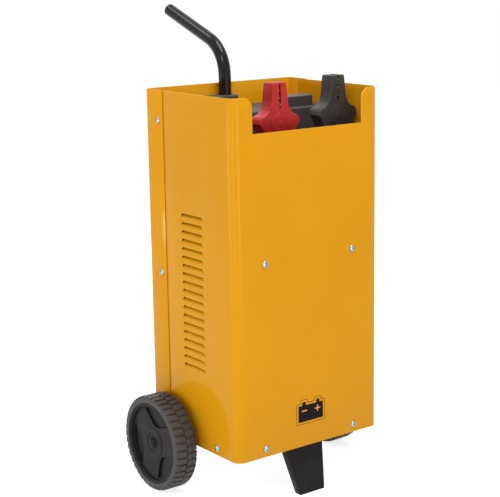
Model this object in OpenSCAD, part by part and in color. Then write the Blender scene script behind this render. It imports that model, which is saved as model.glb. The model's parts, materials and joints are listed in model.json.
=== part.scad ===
// Wheeled battery charger: bent sheet-steel casing on two wheels and a front foot, a cranked
// tube handle, a storage tray with two sprung clamps and the controls on the back.
// Millimetres, +Z up, X across, the front faces -Y, the floor is z = 0.

/* [Casing] */
// Width of the front cover over its side walls
body_w = 308; // [292:1:324]
// Depth from the front panel to the back panel
body_d = 244; // [236:1:256]
// Height of the front cover
body_h = 600; // [580:1:630]
// Thickness of the painted sheet
sheet_t = 1.2; // [1:0.1:1.5]
// Outside radius of the two front bends
bend_r = 16; // [10:1:18]
// Reach of the back cover's flanges over the side walls
flange_w = 49; // [44:1:54]
// Overlap of the side walls inside those flanges
tuck_w = 21; // [18:1:24]
// Clearance between sheets that lie on each other
lap_gap = 0.05; // [0.05:0.01:0.08]

/* [Front cut-out] */
// Width of the opening above the tray
cut_w = 229; // [215:1:235]
// Height of its lower edge above the casing bottom
cut_z = 541.5; // [530:0.5:550]
// Splay of its two upper corners
cut_splay = 11; // [6:1:14]

/* [Louvres] */
// Louvres on each side wall
louvre_n = 19; // [10:1:20]
// Spacing of the louvres
louvre_pitch = 14.35; // [13:0.05:15]
// Length of one louvre
louvre_l = 57; // [45:1:60]
// Height of one louvre
louvre_h = 7; // [5:0.5:8]
// How far the flap leans inward
louvre_lean = 3.4; // [2:0.2:5]
// Height of the lowest louvre above the casing bottom
louvre_z = 134; // [120:1:150]

/* [Wheels] */
// Diameter over the tread
wheel_d = 166; // [160:1:172]
// Width of the tyre
tyre_w = 42.5; // [38:0.5:46]
// Gap from the casing side to the tyre
wheel_gap = 11.5; // [10:0.5:14]
// Outside diameter of the wheel centre
rim_d = 140; // [132:1:144]
// Tread lugs in each of the two rows
lug_n = 40; // [24:1:44]
// Depth of the tread
tread_depth = 3.5; // [2.5:0.5:4.5]
// Width of the three spokes
spoke_w = 50; // [40:1:54]
// Diameter of the axle
axle_d = 10; // [8:1:11]
// Distance of the axle in front of the back panel
axle_back = 62.5; // [55:0.5:70]
// Depth of the axle centre below the casing bottom
axle_drop = 2; // [1:0.5:3]

/* [Foot] */
// Width of the foot at the floor
foot_w = 53; // [44:1:60]
// Width of the foot at the casing
foot_top_w = 86; // [74:1:92]
// Reach of the toe in front of the front panel
foot_reach = 4.3; // [0:0.1:8]
// Distance of its upper edge behind the front panel
foot_set = 22; // [18:1:26]
// Depth of its side flanges
foot_flange = 15; // [12:1:20]
// Thickness of the foot plate
foot_t = 2.5; // [2:0.5:3]

/* [Handle] */
// Outside diameter of the tube
tube_d = 22; // [20:1:25]
// Wall of the tube
tube_wall = 1.5; // [1:0.1:2]
// Radius of the bend at the centre of the tube
crank_r = 68; // [55:1:80]
// Angle of the bend
crank_angle = 69; // [55:1:75]
// Height of the point where the two straight lengths would meet
crank_z = 659.4; // [645:0.5:680]
// Length of the straight grip
grip_l = 134; // [110:1:150]

/* [Tray] */
// Height of the shelf behind the trough
deck_z = 559; // [555:0.5:562]
// Distance of the shelf's front edge from the front panel
deck_front = 138; // [130:1:145]
// Height of the trough floor
trough_z = 445.2; // [440:0.1:450]
// Height of the moulded rest that the red clamp stands on
rest_h = 5.5; // [5:0.1:8]
// Height of the trough's low walls
trough_rim_z = 524; // [505:1:530]
// Wall of the moulding
mould_t = 2.5; // [2:0.1:3]
// Height of the raised block on the shelf
block_h = 18.3; // [12:0.1:22]
// Height of the boss round the handle tube
boss_h = 21.5; // [15:0.5:26]

/* [Clamps] */
// Height of the jaws above the pivot
jaw_l = 68; // [60:1:74]
// Length of the grips below the pivot
grip_drop = 95; // [85:1:100]
// Thickness of a clamp
clamp_t = 27; // [24:1:30]
// Radius of the pivot knuckle
knuckle_r = 18; // [16:0.5:19]
// Slit between the closed jaws
jaw_slit = 3; // [2.4:0.2:3.6]
// Sideways place of the red clamp
red_x = -19.2; // [-30:0.2:-10]
// Sideways place of the black clamp
black_x = 106.4; // [95:0.2:108]
// Front face of the clamps behind the front panel
clamp_set = 50; // [40:1:60]
// How much higher the black clamp stands
black_step = 4.8; // [3:0.1:8]

/* [Controls] */
// Width of the control plate
panel_w = 226; // [216:1:240]
// Height of the control plate
panel_h = 136; // [130:1:146]
// Height of its centre above the casing bottom
panel_z = 440; // [430:1:450]
// Sideways distance of the meter and the knob from the middle
panel_x = 60; // [56:1:64]
// Diameter of the selector knob
knob_d = 40; // [34:1:46]

/* [Hidden] */
$fn = 64;
eps = 0.2;
run_gap = 0.06;
fit_gap = 0.05;
half_w = body_w/2;
half_d = body_d/2;
in_w = half_w - sheet_t;
in_y = half_d - sheet_t;
seam_y = half_d - flange_w;
tuck_y = seam_y + tuck_w;
back_w = half_w + lap_gap + sheet_t;
wheel_r = wheel_d/2;
axle_r = axle_d/2;
axle_y = half_d - axle_back;
wheel_x = half_w + wheel_gap;
tube_r = tube_d/2;
tube_y = in_y - tube_r - 1;
crank_rise = 90 - crank_angle;
crank_leg = crank_r*tan(crank_angle/2);
tube_low_z = 340;
grip_y = tube_y + (crank_leg + grip_l)*cos(crank_rise);
grip_z = crank_z + (crank_leg + grip_l)*sin(crank_rise);
cap_l = 3;
reach_back = grip_y + cap_l*cos(crank_rise) + (tube_r - cap_l)*sin(crank_rise);
cab_y = -(reach_back - half_d - foot_reach)/2;
cab_z = wheel_r + axle_drop;
pan_z = 6;
pan_t = 2;
pan_h = 24;
shelf_z = 318;
shelf_t = 2;
shelf_flange = 20;
shelf_inset = bend_r - 2;
shelf_back = tuck_y + 3;
shelf_ear_l = 29;
shelf_ear_h = 42;
passage_w = 80;
passage_l = 26;
passage_back = shelf_back - 9;
sink_w = 160;
sink_front = -70;
sink_l = 60;
sink_t = 6;
fin_l = 34;
fin_h = 39;
fin_t = 2.5;
fin_pitch = 11;
diode_r = 6.35;
diode_pitch = 36;
diode_y = sink_front + sink_l - 13;
front_screw_z = 328;
low_screw_z = 14;
front_screw_x = 93.5;
low_screw_x = 95.5;
side_screw_y = -63.5;
side_screw_z = 12;
flange_screw_y = half_d - 34.5;
flange_screw_zs = [25, 288, 550];
back_screw_x = 120;
screw_r = 1.95;
head_r = 4;
head_h = 2.4;
deck_y = -half_d + deck_front;
mould_w = in_w - 0.4;
mould_y = in_y - 0.4;
tread_base_r = wheel_r - tread_depth;
rim_r = rim_d/2;
clamp_y = -half_d + clamp_set + clamp_t/2;
red_z = trough_z + rest_h + grip_drop;
black_z = red_z + black_step;
meter_z = panel_z + 20;
lower_z = panel_z - 38;
panel_t = 2.5;
rock_throw = 8;
needle_zero = 40;
panel_y = half_d + panel_t;
saddle_zs = [532, 358];
saddle_bolt_x = 20;
post_x = 118;
post_ys = [-92, -8];
louvre_y = -2.7;
foot_lean = atan((foot_set + foot_reach)/(cab_z + pan_z));
foot_len = (cab_z + pan_z)/cos(foot_lean);
foot_taper = atan((foot_top_w - foot_w)/2/foot_len);
foot_bolt_x = 28;
block_in_x = 120;
block_out_x = 144;
block_bolt_x = (block_in_x + block_out_x)/2;
block_bolt_dy = 14;
block_r = min(axle_r + 4, pan_z + axle_drop);
core_z = pan_z + pan_t;
core_w = 136;
core_d = 84;
core_h = 112;
leg_w = 42;
coil_t = 22;
core_y = 4;
core_foot_t = 4;
core_foot_l = 32;
core_bolt_x = 52;
core_bolt_ys = [core_y - core_d/2 - 24, core_y + core_d/2 + 24];
foot_bolt_y = core_y - core_d/2 - core_foot_l - 6.5;
knuckle_in = 9;
pin_r = 4;
heel_gap = 0.2;
heel_z = 25.5;
grip_wall_x = 26.5;
back_bend_r = 2*sheet_t;
plate_screw_in = 9;
gland_z = 62;
gland_x = -back_screw_x + 12;
lead_xs = [-75, 45];
lead_z = trough_z + 45;
deck_edge_r = 4;
wedge_r = 2*crank_r;
bend_step = 0.02;
bend_lap = 0.5;

// ---------- helpers ----------

// Draws in casing coordinates: x across, y from the casing centre, z from the casing bottom.
module at_cabinet() {
  translate([0, cab_y, cab_z]) children();
}

// Block with its lower face at z0 and given x and y spans.
module block(x0, x1, y0, y1, z0, z1) {
  translate([x0, y0, z0]) cube([x1 - x0, y1 - y0, z1 - z0]);
}

// Upright block with four rounded vertical edges.
module round_block(x0, x1, y0, y1, z0, z1, r) {
  translate([0, 0, z0]) linear_extrude(z1 - z0) union() {
    translate([x0 + r, y0]) square([x1 - x0 - 2*r, y1 - y0]);
    translate([x0, y0 + r]) square([x1 - x0, y1 - y0 - 2*r]);
    for (x = [x0 + r, x1 - r]) for (y = [y0 + r, y1 - r]) translate([x, y]) circle(r);
  }
}

// Upright block with only its two front edges rounded.
module front_round_block(x0, x1, y0, y1, z0, z1, r) {
  translate([0, 0, z0]) linear_extrude(z1 - z0) union() {
    translate([x0 + r, y0]) square([x1 - x0 - 2*r, y1 - y0]);
    translate([x0, y0 + r]) square([x1 - x0, y1 - y0 - r]);
    for (x = [x0 + r, x1 - r]) translate([x, y0 + r]) circle(r);
  }
}

// Cylinder along +Y that starts at y0.
module bar_y(r, x, y0, y1, z) {
  translate([x, y0, z]) rotate([-90, 0, 0]) cylinder(r = r, h = y1 - y0);
}

// Cylinder along +X that starts at x0.
module bar_x(r, x0, x1, y, z) {
  translate([x0, y, z]) rotate([0, 90, 0]) cylinder(r = r, h = x1 - x0);
}

// Pan-head screw with its head on +Z and its seat at the origin.
module pan_screw(length) {
  rotate_extrude() polygon([[0, -length], [screw_r, -length], [screw_r, 0], [head_r, 0],
                            [head_r, head_h*0.45], [head_r*0.75, head_h*0.85],
                            [head_r*0.35, head_h], [0, head_h]]);
}

// Hexagon bolt with its head on +Z, seat at the origin, and a nut at depth grip.
module hex_bolt(r, length, grip) {
  cylinder(r = r*1.7, h = r*1.3, $fn = 6);
  translate([0, 0, -length]) cylinder(r = r, h = length + eps);
  translate([0, 0, -grip - r*1.4]) cylinder(r = r*1.7, h = r*1.4, $fn = 6);
}

// ---------- casing ----------

// Slots of the louvres in one side wall, cut from outside at x = 0 inward.
module louvre_slots() {
  for (i = [0 : louvre_n - 1])
    translate([-sheet_t - 1, -louvre_l/2, louvre_z + i*louvre_pitch])
      cube([sheet_t + 2, louvre_l, louvre_h]);
}

// Flaps of the louvres, hinged at their lower edge and leaning inward (-X side).
module louvre_flaps() {
  for (i = [0 : louvre_n - 1])
    translate([0, louvre_l/2 - 0.4, louvre_z + i*louvre_pitch]) rotate([90, 0, 0])
      linear_extrude(louvre_l - 0.8)
        polygon([[0, -eps], [0, 0], [-louvre_lean, louvre_h - 0.8],
                 [-louvre_lean - sheet_t, louvre_h - 0.8], [-sheet_t, 0], [-sheet_t, -eps]]);
}

module front_cover() {
  color("orange") at_cabinet() {
    difference() {
      front_round_block(-half_w, half_w, -half_d, tuck_y, 0, body_h, bend_r);
      front_round_block(-in_w, in_w, -in_y, tuck_y + 1, -1, body_h + 1, bend_r - sheet_t);
      // Opening above the tray
      translate([0, -half_d + sheet_t + bend_r/2, 0]) rotate([90, 0, 0])
        linear_extrude(sheet_t + bend_r)
          polygon([[-cut_w/2, cut_z], [cut_w/2, cut_z], [cut_w/2, body_h - cut_splay],
                   [cut_w/2 + cut_splay, body_h + eps], [-cut_w/2 - cut_splay, body_h + eps],
                   [-cut_w/2, body_h - cut_splay]]);
      // Louvre slots
      translate([half_w, louvre_y, 0]) louvre_slots();
      mirror([1, 0, 0]) translate([half_w, louvre_y, 0]) louvre_slots();
      // Screw holes
      for (s = [-1, 1]) {
        bar_y(screw_r + fit_gap, s*front_screw_x, -half_d - 1, -in_y + 1, front_screw_z);
        bar_y(screw_r + fit_gap, s*low_screw_x, -half_d - 1, -in_y + 1, low_screw_z);
      }
      bar_x(screw_r + fit_gap, -half_w - 1, half_w + 1, side_screw_y, side_screw_z);
      for (z = flange_screw_zs)
        bar_x(screw_r + fit_gap, -half_w - 1, half_w + 1, flange_screw_y, z);
      // Notches over the axle
      bar_x(axle_r + 3.5, -half_w - 1, half_w + 1, axle_y, -axle_drop);
    }
    translate([half_w, louvre_y, 0]) louvre_flaps();
    mirror([1, 0, 0]) translate([half_w, louvre_y, 0]) louvre_flaps();
  }
}

module rear_cover() {
  color("orange") at_cabinet() difference() {
    mirror([0, 1, 0])
      front_round_block(-back_w, back_w, -half_d, -seam_y, 0, body_h + 1, back_bend_r);
    mirror([0, 1, 0])
      front_round_block(-back_w + sheet_t, back_w - sheet_t, -in_y, -seam_y + 1, -1, body_h + 2,
                        back_bend_r - sheet_t);
    for (z = flange_screw_zs)
      bar_x(screw_r + fit_gap, -back_w - 1, back_w + 1, flange_screw_y, z);
    for (s = [-1, 1])
      bar_y(screw_r + fit_gap, s*back_screw_x, in_y - 1, half_d + 1, low_screw_z);
    for (z = saddle_zs) for (s = [-1, 1])
      bar_y(3, s*saddle_bolt_x, in_y - 1, half_d + 1, z);
    bar_y(27, -panel_x, in_y - 1, half_d + 1, meter_z);
    bar_y(6, panel_x, in_y - 1, half_d + 1, meter_z);
    block(-panel_x - 13.2, -panel_x + 13.2, in_y - 1, half_d + 1, lower_z - 9.7, lower_z + 9.7);
    bar_y(8.1, panel_x, in_y - 1, half_d + 1, lower_z);
    for (s = [-1, 1]) for (z = [-1, 1])
      bar_y(screw_r + fit_gap, s*(panel_w/2 - plate_screw_in), in_y - 1, half_d + 1,
            panel_z + z*(panel_h/2 - plate_screw_in));
    bar_y(10.05, gland_x, in_y - 1, half_d + 1, gland_z);
    bar_x(axle_r + 3.5, -back_w - 1, back_w + 1, axle_y, -axle_drop);
  }
}

module base_pan() {
  color("gray") at_cabinet() {
    difference() {
      front_round_block(-in_w + lap_gap, in_w - lap_gap, -in_y + lap_gap, in_y - lap_gap,
                        pan_z, pan_z + pan_h, bend_r + 2);
      front_round_block(-in_w + lap_gap + pan_t, in_w - lap_gap - pan_t,
                        -in_y + lap_gap + pan_t, in_y - lap_gap - pan_t,
                        pan_z + pan_t, pan_z + pan_h + 1, bend_r + 2 - pan_t);
      for (s = [-1, 1]) {
        bar_y(screw_r + fit_gap, s*low_screw_x, -in_y - 1, -in_y + pan_t + 1, low_screw_z);
        bar_y(screw_r + fit_gap, s*back_screw_x, in_y - pan_t - 1, in_y + 1, low_screw_z);
      }
      bar_x(screw_r + fit_gap, -in_w - 1, in_w + 1, side_screw_y, side_screw_z);
      bar_x(screw_r + fit_gap, -in_w - 1, in_w + 1, flange_screw_y, flange_screw_zs[0]);
      for (s = [-1, 1]) translate([s*foot_bolt_x, foot_bolt_y, pan_z - 1])
        cylinder(r = 3, h = pan_t + 2);
      for (x = [-block_bolt_x, block_bolt_x]) for (s = [-1, 1])
        translate([x, axle_y + s*block_bolt_dy, pan_z - 1]) cylinder(r = 2.5, h = pan_t + 2);
      for (s = [-1, 1]) for (y = core_bolt_ys)
        translate([s*core_bolt_x, y, pan_z - 1]) cylinder(r = 3, h = pan_t + 2);
      // Air slots under the transformer
      for (i = [-3 : 3]) block(i*14 - 3, i*14 + 3, -50, 30, pan_z - 1, pan_z + pan_t + 1);
    }
  }
}

module shelf() {
  color("silver") at_cabinet() difference() {
    union() {
      block(-in_w + shelf_inset, in_w - shelf_inset, -in_y + 0.1, -in_y + 0.1 + shelf_t,
            shelf_z, shelf_z + shelf_flange);
      block(-in_w + shelf_inset, in_w - shelf_inset, -in_y + 0.1, shelf_back, shelf_z,
            shelf_z + shelf_t);
      block(-in_w + lap_gap, in_w - lap_gap, -in_y + bend_r, shelf_back, shelf_z,
            shelf_z + shelf_t);
      for (s = [-1, 1]) {
        x = s*(in_w - lap_gap - shelf_t/2);
        block(x - shelf_t/2, x + shelf_t/2, shelf_back - shelf_ear_l, shelf_back,
              shelf_z - shelf_ear_h, shelf_z + shelf_t);
      }
    }
    for (s = [-1, 1])
      bar_y(screw_r + fit_gap, s*front_screw_x, -in_y - 1, -in_y + shelf_t + 2, front_screw_z);
    bar_x(screw_r + fit_gap, -in_w - 1, in_w + 1, flange_screw_y, flange_screw_zs[1]);
    for (s = [-1, 1]) for (y = post_ys)
      translate([s*post_x, y, shelf_z - 1]) cylinder(r = 3, h = shelf_t + 2);
    // Wire passage behind the heat sink
    round_block(-passage_w/2, passage_w/2, passage_back - passage_l, passage_back,
                shelf_z - 1, shelf_z + shelf_t + 1, passage_l/4);
  }
}

// ---------- foot ----------

// Side outline of the leaning channel, from its front face (set back by wall) to its open back.
module foot_side(wall, depth) {
  translate([-foot_top_w, 0, 0]) rotate([90, 0, 90]) linear_extrude(2*foot_top_w)
    polygon([[-half_d - foot_reach + wall, -cab_z], [-half_d + foot_set + wall, pan_z],
             [-half_d + foot_set + depth, pan_z], [-half_d - foot_reach + depth, -cab_z]]);
}

// Front outline of the channel, drawn in by wall and cut from z0 upward.
module foot_front(wall, z0) {
  low = foot_w/2 - wall;
  high = foot_top_w/2 - wall;
  lift = (z0 + cab_z)/(cab_z + pan_z)*(high - low);
  translate([0, half_d, 0]) rotate([90, 0, 0]) linear_extrude(3*half_d)
    polygon([[-low - lift, z0], [low + lift, z0], [high, pan_z], [-high, pan_z]]);
}

module foot() {
  color("dimgray") at_cabinet() difference() {
    union() {
      difference() {
        intersection() {
          foot_side(0, foot_flange);
          foot_front(0, -cab_z);
        }
        intersection() {
          foot_side(foot_t/cos(foot_lean), foot_flange + 10);
          foot_front(foot_t/cos(foot_taper), -cab_z + foot_t);
        }
      }
      block(-foot_top_w/2 + 1, foot_top_w/2 - 1, -half_d + foot_set + 0.8,
            -half_d + foot_set + 38, pan_z - foot_t, pan_z);
    }
    for (s = [-1, 1]) translate([s*foot_bolt_x, foot_bolt_y, pan_z - foot_t - 1])
      cylinder(r = 3, h = foot_t + 2);
  }
}

module foot_bolts() {
  color("silver") at_cabinet() for (s = [-1, 1])
    translate([s*foot_bolt_x, foot_bolt_y, pan_z + pan_t]) hex_bolt(2.95, 12, pan_t + foot_t);
}

// ---------- wheels ----------

module axle() {
  color("silver") at_cabinet()
    bar_x(axle_r, -wheel_x - tyre_w + 3, wheel_x + tyre_w - 3, axle_y, -axle_drop);
}

// Pillow block that hangs the axle under the pan, drawn for the right side.
module axle_block() {
  difference() {
    union() {
      block(block_in_x, block_out_x, axle_y - 22, axle_y + 22, pan_z - 4, pan_z);
      block(block_in_x, block_out_x, axle_y - block_r, axle_y + block_r, -axle_drop, pan_z - 1);
      bar_x(block_r, block_in_x, block_out_x, axle_y, -axle_drop);
    }
    bar_x(axle_r + fit_gap, block_in_x - 1, block_out_x + 1, axle_y, -axle_drop);
    for (s = [-1, 1]) translate([block_bolt_x, axle_y + s*block_bolt_dy, -12])
      cylinder(r = 2.5, h = 24);
  }
}

module right_axle_block() {
  color("dimgray") at_cabinet() axle_block();
}

module left_axle_block() {
  color("dimgray") at_cabinet() mirror([1, 0, 0]) axle_block();
}

module block_bolts() {
  color("silver") at_cabinet() for (x = [-block_bolt_x, block_bolt_x]) for (s = [-1, 1])
    translate([x, axle_y + s*block_bolt_dy, pan_z + pan_t]) hex_bolt(2.45, 11, pan_t + 4);
}

module spacer_sleeves() {
  color("silver") at_cabinet() for (s = [0, 1]) mirror([s, 0, 0]) difference() {
    bar_x(axle_r + 2, block_out_x + 0.1, wheel_x - 5.4, axle_y, -axle_drop);
    bar_x(axle_r + fit_gap, block_out_x - 1, wheel_x, axle_y, -axle_drop);
  }
}

// Wheel parts are drawn on +Z with the inner side at z = 0, then turned on to the axle.
module on_axle(side) {
  at_cabinet() translate([side*wheel_x, axle_y, -axle_drop]) rotate([0, side*90, 0]) children();
}

// One of the three hollows between the spokes.
module spoke_pocket(turn) {
  corner_r = 12;
  tip = spoke_w/2/sin(60);
  back = corner_r/tan(60);
  rotate([0, 0, turn]) intersection() {
    circle(rim_r - 5);
    union() {
      translate([(spoke_w/2 + corner_r)/sin(60), 0]) circle(corner_r);
      polygon([[tip + back*cos(60), back*sin(60)], [tip + 90*cos(60), 90*sin(60)],
               [rim_r + 40, 0], [tip + 90*cos(60), -90*sin(60)],
               [tip + back*cos(60), -back*sin(60)]]);
    }
  }
}

module rim() {
  difference() {
    rotate_extrude() polygon([[axle_r + run_gap, -5], [axle_r + 5, -5], [axle_r + 8, 22],
                              [rim_r - 8, 25], [rim_r - 6, 3], [rim_r, 1], [rim_r, tyre_w - 0.6],
                              [rim_r - 2, tyre_w - 0.6], [rim_r - 4, tyre_w - 6.5],
                              [27, tyre_w - 6.5], [26, tyre_w - 5.5], [17, tyre_w - 5.5],
                              [15.5, tyre_w - 8], [12.5, tyre_w - 8], [axle_r + run_gap, tyre_w - 8]]);
    for (i = [0 : 2]) translate([0, 0, tyre_w - 14.5]) linear_extrude(9) spoke_pocket(-14 + i*120);
  }
}

function lug_points(n, r0, r1, turn) = [for (i = [0 : n - 1]) for (k = [0 : 3])
  let (a = turn + (i + [0.06, 0.14, 0.66, 0.74][k])*360/n, r = (k == 0 || k == 3) ? r0 : r1)
  [r*cos(a), r*sin(a)]];

module tyre() {
  difference() {
    union() {
      rotate_extrude() polygon([[rim_r + fit_gap, 0.8], [rim_r + 3, 0], [tread_base_r - 3, 0],
                                [tread_base_r, 3], [tread_base_r, tyre_w - 3],
                                [tread_base_r - 3, tyre_w], [rim_r + 3, tyre_w],
                                [rim_r + fit_gap, tyre_w - 0.8]]);
      translate([0, 0, 1.5]) linear_extrude(tyre_w/2 - 2.4)
        polygon(lug_points(lug_n, tread_base_r - 1, wheel_r, 0));
      translate([0, 0, tyre_w/2 + 0.9]) linear_extrude(tyre_w/2 - 2.4)
        polygon(lug_points(lug_n, tread_base_r - 1, wheel_r, 180/lug_n));
    }
    translate([0, 0, -1]) cylinder(r = rim_r + fit_gap, h = tyre_w + 2);
  }
}

// Sprung cap pushed over the end of the axle.
module hub_cap() {
  rotate_extrude() difference() {
    polygon([[0, tyre_w - 7.6], [12, tyre_w - 7.6], [12, tyre_w - 7], [10.5, tyre_w - 6],
             [9.4, tyre_w - 3], [6.5, tyre_w - 1], [3, tyre_w - 0.2], [0, tyre_w]]);
    translate([-1, tyre_w - 9]) square([axle_r + fit_gap + 1, 6.1]);
  }
}

module left_rim() { color("dimgray") on_axle(-1) rim(); }
module right_rim() { color("dimgray") on_axle(1) rim(); }
module left_tyre() { color("black") on_axle(-1) tyre(); }
module right_tyre() { color("black") on_axle(1) tyre(); }
module left_cap() { color("dimgray") on_axle(-1) hub_cap(); }
module right_cap() { color("dimgray") on_axle(1) hub_cap(); }

// ---------- handle ----------

// Path of the tube for a solid rod of radius r, with extra length at its two ends. The bent
// length is a hair thicker than the straight ones, as a bending die leaves it.
module crank(r, low, high) {
  translate([0, tube_y, tube_low_z - low])
    cylinder(r = r - bend_step, h = crank_z - crank_leg - tube_low_z + low + bend_lap);
  translate([0, tube_y + crank_r, crank_z - crank_leg]) rotate([90, 0, 90]) {
    // The bend is the part of a ring that lies in the wedge between its two end planes
    intersection() {
      rotate_extrude() translate([crank_r, 0]) circle(r);
      translate([0, 0, -2*r]) linear_extrude(4*r)
        polygon([[0, 0], [-wedge_r, 0], [-wedge_r, wedge_r*tan(crank_angle/2)],
                 [-wedge_r*cos(crank_angle), wedge_r*sin(crank_angle)]]);
    }
    rotate([0, 0, 180 - crank_angle]) translate([crank_r, bend_lap, 0]) rotate([90, 0, 0])
      cylinder(r = r - bend_step, h = grip_l + high + bend_lap);
  }
}

module handle_tube() {
  color("black") at_cabinet() difference() {
    crank(tube_r, 0, 0);
    crank(tube_r - tube_wall, 1, 1);
  }
}

// Turned part on the far end of the grip: z = 0 is the cut end of the tube.
module at_grip_end() {
  at_cabinet() translate([0, grip_y, grip_z]) rotate([crank_rise - 90, 0, 0]) children();
}

module handle_plug() {
  color("black") at_grip_end() rotate_extrude()
    polygon([[0, -16], [tube_r - tube_wall - 1, -16], [tube_r - tube_wall - fit_gap, -14],
             [tube_r - tube_wall - fit_gap, 0], [tube_r, 0], [tube_r, cap_l*0.2],
             [tube_r - cap_l*0.3, cap_l*0.7], [tube_r - cap_l, cap_l], [0, cap_l]]);
}

// Strap that holds the tube against the back panel.
module saddle(z) {
  difference() {
    union() {
      translate([0, tube_y, z - 11]) cylinder(r = tube_r + 2.5, h = 22);
      block(-30, 30, in_y - 2.6, in_y - 0.05, z - 11, z + 11);
    }
    translate([0, tube_y, z - 12]) cylinder(r = tube_r + fit_gap, h = 24);
    block(-31, 31, in_y - 0.05, in_y + 20, z - 12, z + 12);
    for (s = [-1, 1]) bar_y(3, s*saddle_bolt_x, in_y - 8, in_y + 1, z);
  }
}

module upper_saddle() { color("silver") at_cabinet() saddle(saddle_zs[0]); }
module lower_saddle() { color("silver") at_cabinet() saddle(saddle_zs[1]); }

module saddle_bolts() {
  color("silver") at_cabinet() for (z = saddle_zs) for (s = [-1, 1])
    translate([s*saddle_bolt_x, half_d, z]) rotate([-90, 0, 0])
      hex_bolt(2.95, 13, sheet_t + 2.6);
}

// ---------- tray ----------

// Outline of the space under the shelf and behind its front face, drawn in by the wall.
module deck_section(wall) {
  r = deck_edge_r - wall;
  translate([deck_y + wall + r, trough_z - mould_t - wall])
    square([mould_y - deck_y - r, deck_z - trough_z + mould_t]);
  translate([deck_y + wall, trough_z - mould_t - wall])
    square([2*r, deck_z - trough_z + mould_t - r]);
  translate([deck_y + wall + r, deck_z - wall - r]) circle(r);
}

// Rest under the grip of a still lever.
module clamp_rest(x, height) {
  round_block(x - 40, x - 21, clamp_y - clamp_t/2 - 5, clamp_y + clamp_t/2 + 5, trough_z - eps,
              trough_z + height, 5);
}

module tray() {
  color("dimgray") at_cabinet() {
    difference() {
      union() {
        // Shelf and its front face
        translate([-mould_w, 0, 0]) rotate([90, 0, 90]) linear_extrude(2*mould_w) difference() {
          deck_section(0);
          deck_section(mould_t);
        }
        // Trough
        difference() {
          front_round_block(-mould_w, mould_w, -in_y + 0.4, deck_y + mould_t,
                            trough_z - mould_t, trough_rim_z, bend_r - sheet_t);
          front_round_block(-mould_w + mould_t, mould_w - mould_t, -in_y + 0.4 + mould_t,
                            deck_y, trough_z, trough_rim_z + 1, bend_r - sheet_t - mould_t);
        }
        // Rests under the still levers of the clamps
        clamp_rest(red_x, rest_h);
        clamp_rest(black_x, rest_h + black_step);
        // Raised block and boss round the tube
        front_round_block(60, 133, deck_y + 6, deck_y + 40, deck_z - eps, deck_z + block_h, 11);
        front_round_block(-60, 19, mould_y - 33, mould_y, deck_z - eps, deck_z + boss_h, 12);
        // Ears for the two upper flange screws
        for (s = [-1, 1]) {
          x = s*(mould_w - 1.5);
          block(x - 1.5, x + 1.5, flange_screw_y - 16, flange_screw_y + 16,
                flange_screw_zs[2] - 10, deck_z - eps);
        }
      }
      // Slot for the tube through the boss, which is hollow from below
      translate([0, tube_y, deck_z - 10]) cylinder(r = tube_r + 0.4, h = boss_h + 20);
      block(-tube_r - 0.4, tube_r + 0.4, tube_y, mould_y + 1, deck_z - 10, deck_z + boss_h + 1);
      block(-57, -14, mould_y - 30, mould_y - 3, deck_z - 10, deck_z + boss_h - 3);
      block(64, 129, deck_y + 10, deck_y + 37, deck_z - 10, deck_z + block_h - 3);
      bar_x(screw_r + fit_gap, -in_w - 1, in_w + 1, flange_screw_y, flange_screw_zs[2]);
      for (s = [-1, 1]) for (y = post_ys)
        translate([s*post_x, y, trough_z - 5]) cylinder(r = screw_r + fit_gap, h = 20);
      for (x = lead_xs) bar_y(9.05, x, deck_y - 1, deck_y + mould_t + 1, lead_z);
    }
  }
}

module tray_posts() {
  color("silver") at_cabinet() for (s = [-1, 1]) for (y = post_ys)
    translate([s*post_x, y, shelf_z + shelf_t]) difference() {
      union() {
        cylinder(r = 6, h = trough_z - mould_t - shelf_z - shelf_t);
        translate([0, 0, -shelf_t - 6]) cylinder(r = 2.95, h = 12);
        translate([0, 0, -shelf_t - 4.6]) cylinder(r = 5.6, h = 4.6, $fn = 6);
      }
      translate([0, 0, trough_z - mould_t - shelf_z - shelf_t - 12])
        cylinder(r = screw_r + fit_gap, h = 13);
    }
}

module tray_screws() {
  color("silver") at_cabinet() for (s = [-1, 1]) for (y = post_ys)
    translate([s*post_x, y, trough_z]) pan_screw(12);
}

module lead_glands() {
  color("black") at_cabinet() for (x = lead_xs) difference() {
    union() {
      bar_y(13, x, deck_y - 4, deck_y, lead_z);
      bar_y(9, x, deck_y - 6, deck_y + mould_t + 8, lead_z);
      bar_y(12, x, deck_y + mould_t, deck_y + mould_t + 4, lead_z);
    }
    bar_y(5.5, x, deck_y - 7, deck_y + mould_t + 9, lead_z);
  }
}

// ---------- controls on the back ----------

module control_plate() {
  color("black") at_cabinet() difference() {
    translate([0, half_d, panel_z]) rotate([-90, 0, 0])
      round_block(-panel_w/2, panel_w/2, -panel_h/2, panel_h/2, 0, panel_t, 8);
    bar_y(26.6, -panel_x, half_d - 1, panel_y + 1, meter_z);
    bar_y(6, panel_x, half_d - 1, panel_y + 1, meter_z);
    block(-panel_x - 13.2, -panel_x + 13.2, half_d - 1, panel_y + 1, lower_z - 9.7, lower_z + 9.7);
    bar_y(8.1, panel_x, half_d - 1, panel_y + 1, lower_z);
    for (s = [-1, 1]) for (z = [-1, 1])
      bar_y(screw_r + fit_gap, s*(panel_w/2 - plate_screw_in), half_d - 1, panel_y + 1,
            panel_z + z*(panel_h/2 - plate_screw_in));
  }
}

module meter_case() {
  color("black") at_cabinet() {
    difference() {
      union() {
        bar_y(26.5, -panel_x, in_y - 20, panel_y + 1, meter_z);
        translate([-panel_x, panel_y, meter_z]) rotate([-90, 0, 0])
          round_block(-40, 40, -33, 33, 0, 9, 4);
      }
      block(-panel_x - 36, -panel_x + 36, panel_y + 2, panel_y + 10, meter_z - 29, meter_z + 29);
    }
    bar_y(1, -panel_x, panel_y + 1.8, panel_y + 5, meter_z - 20);
  }
}

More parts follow.
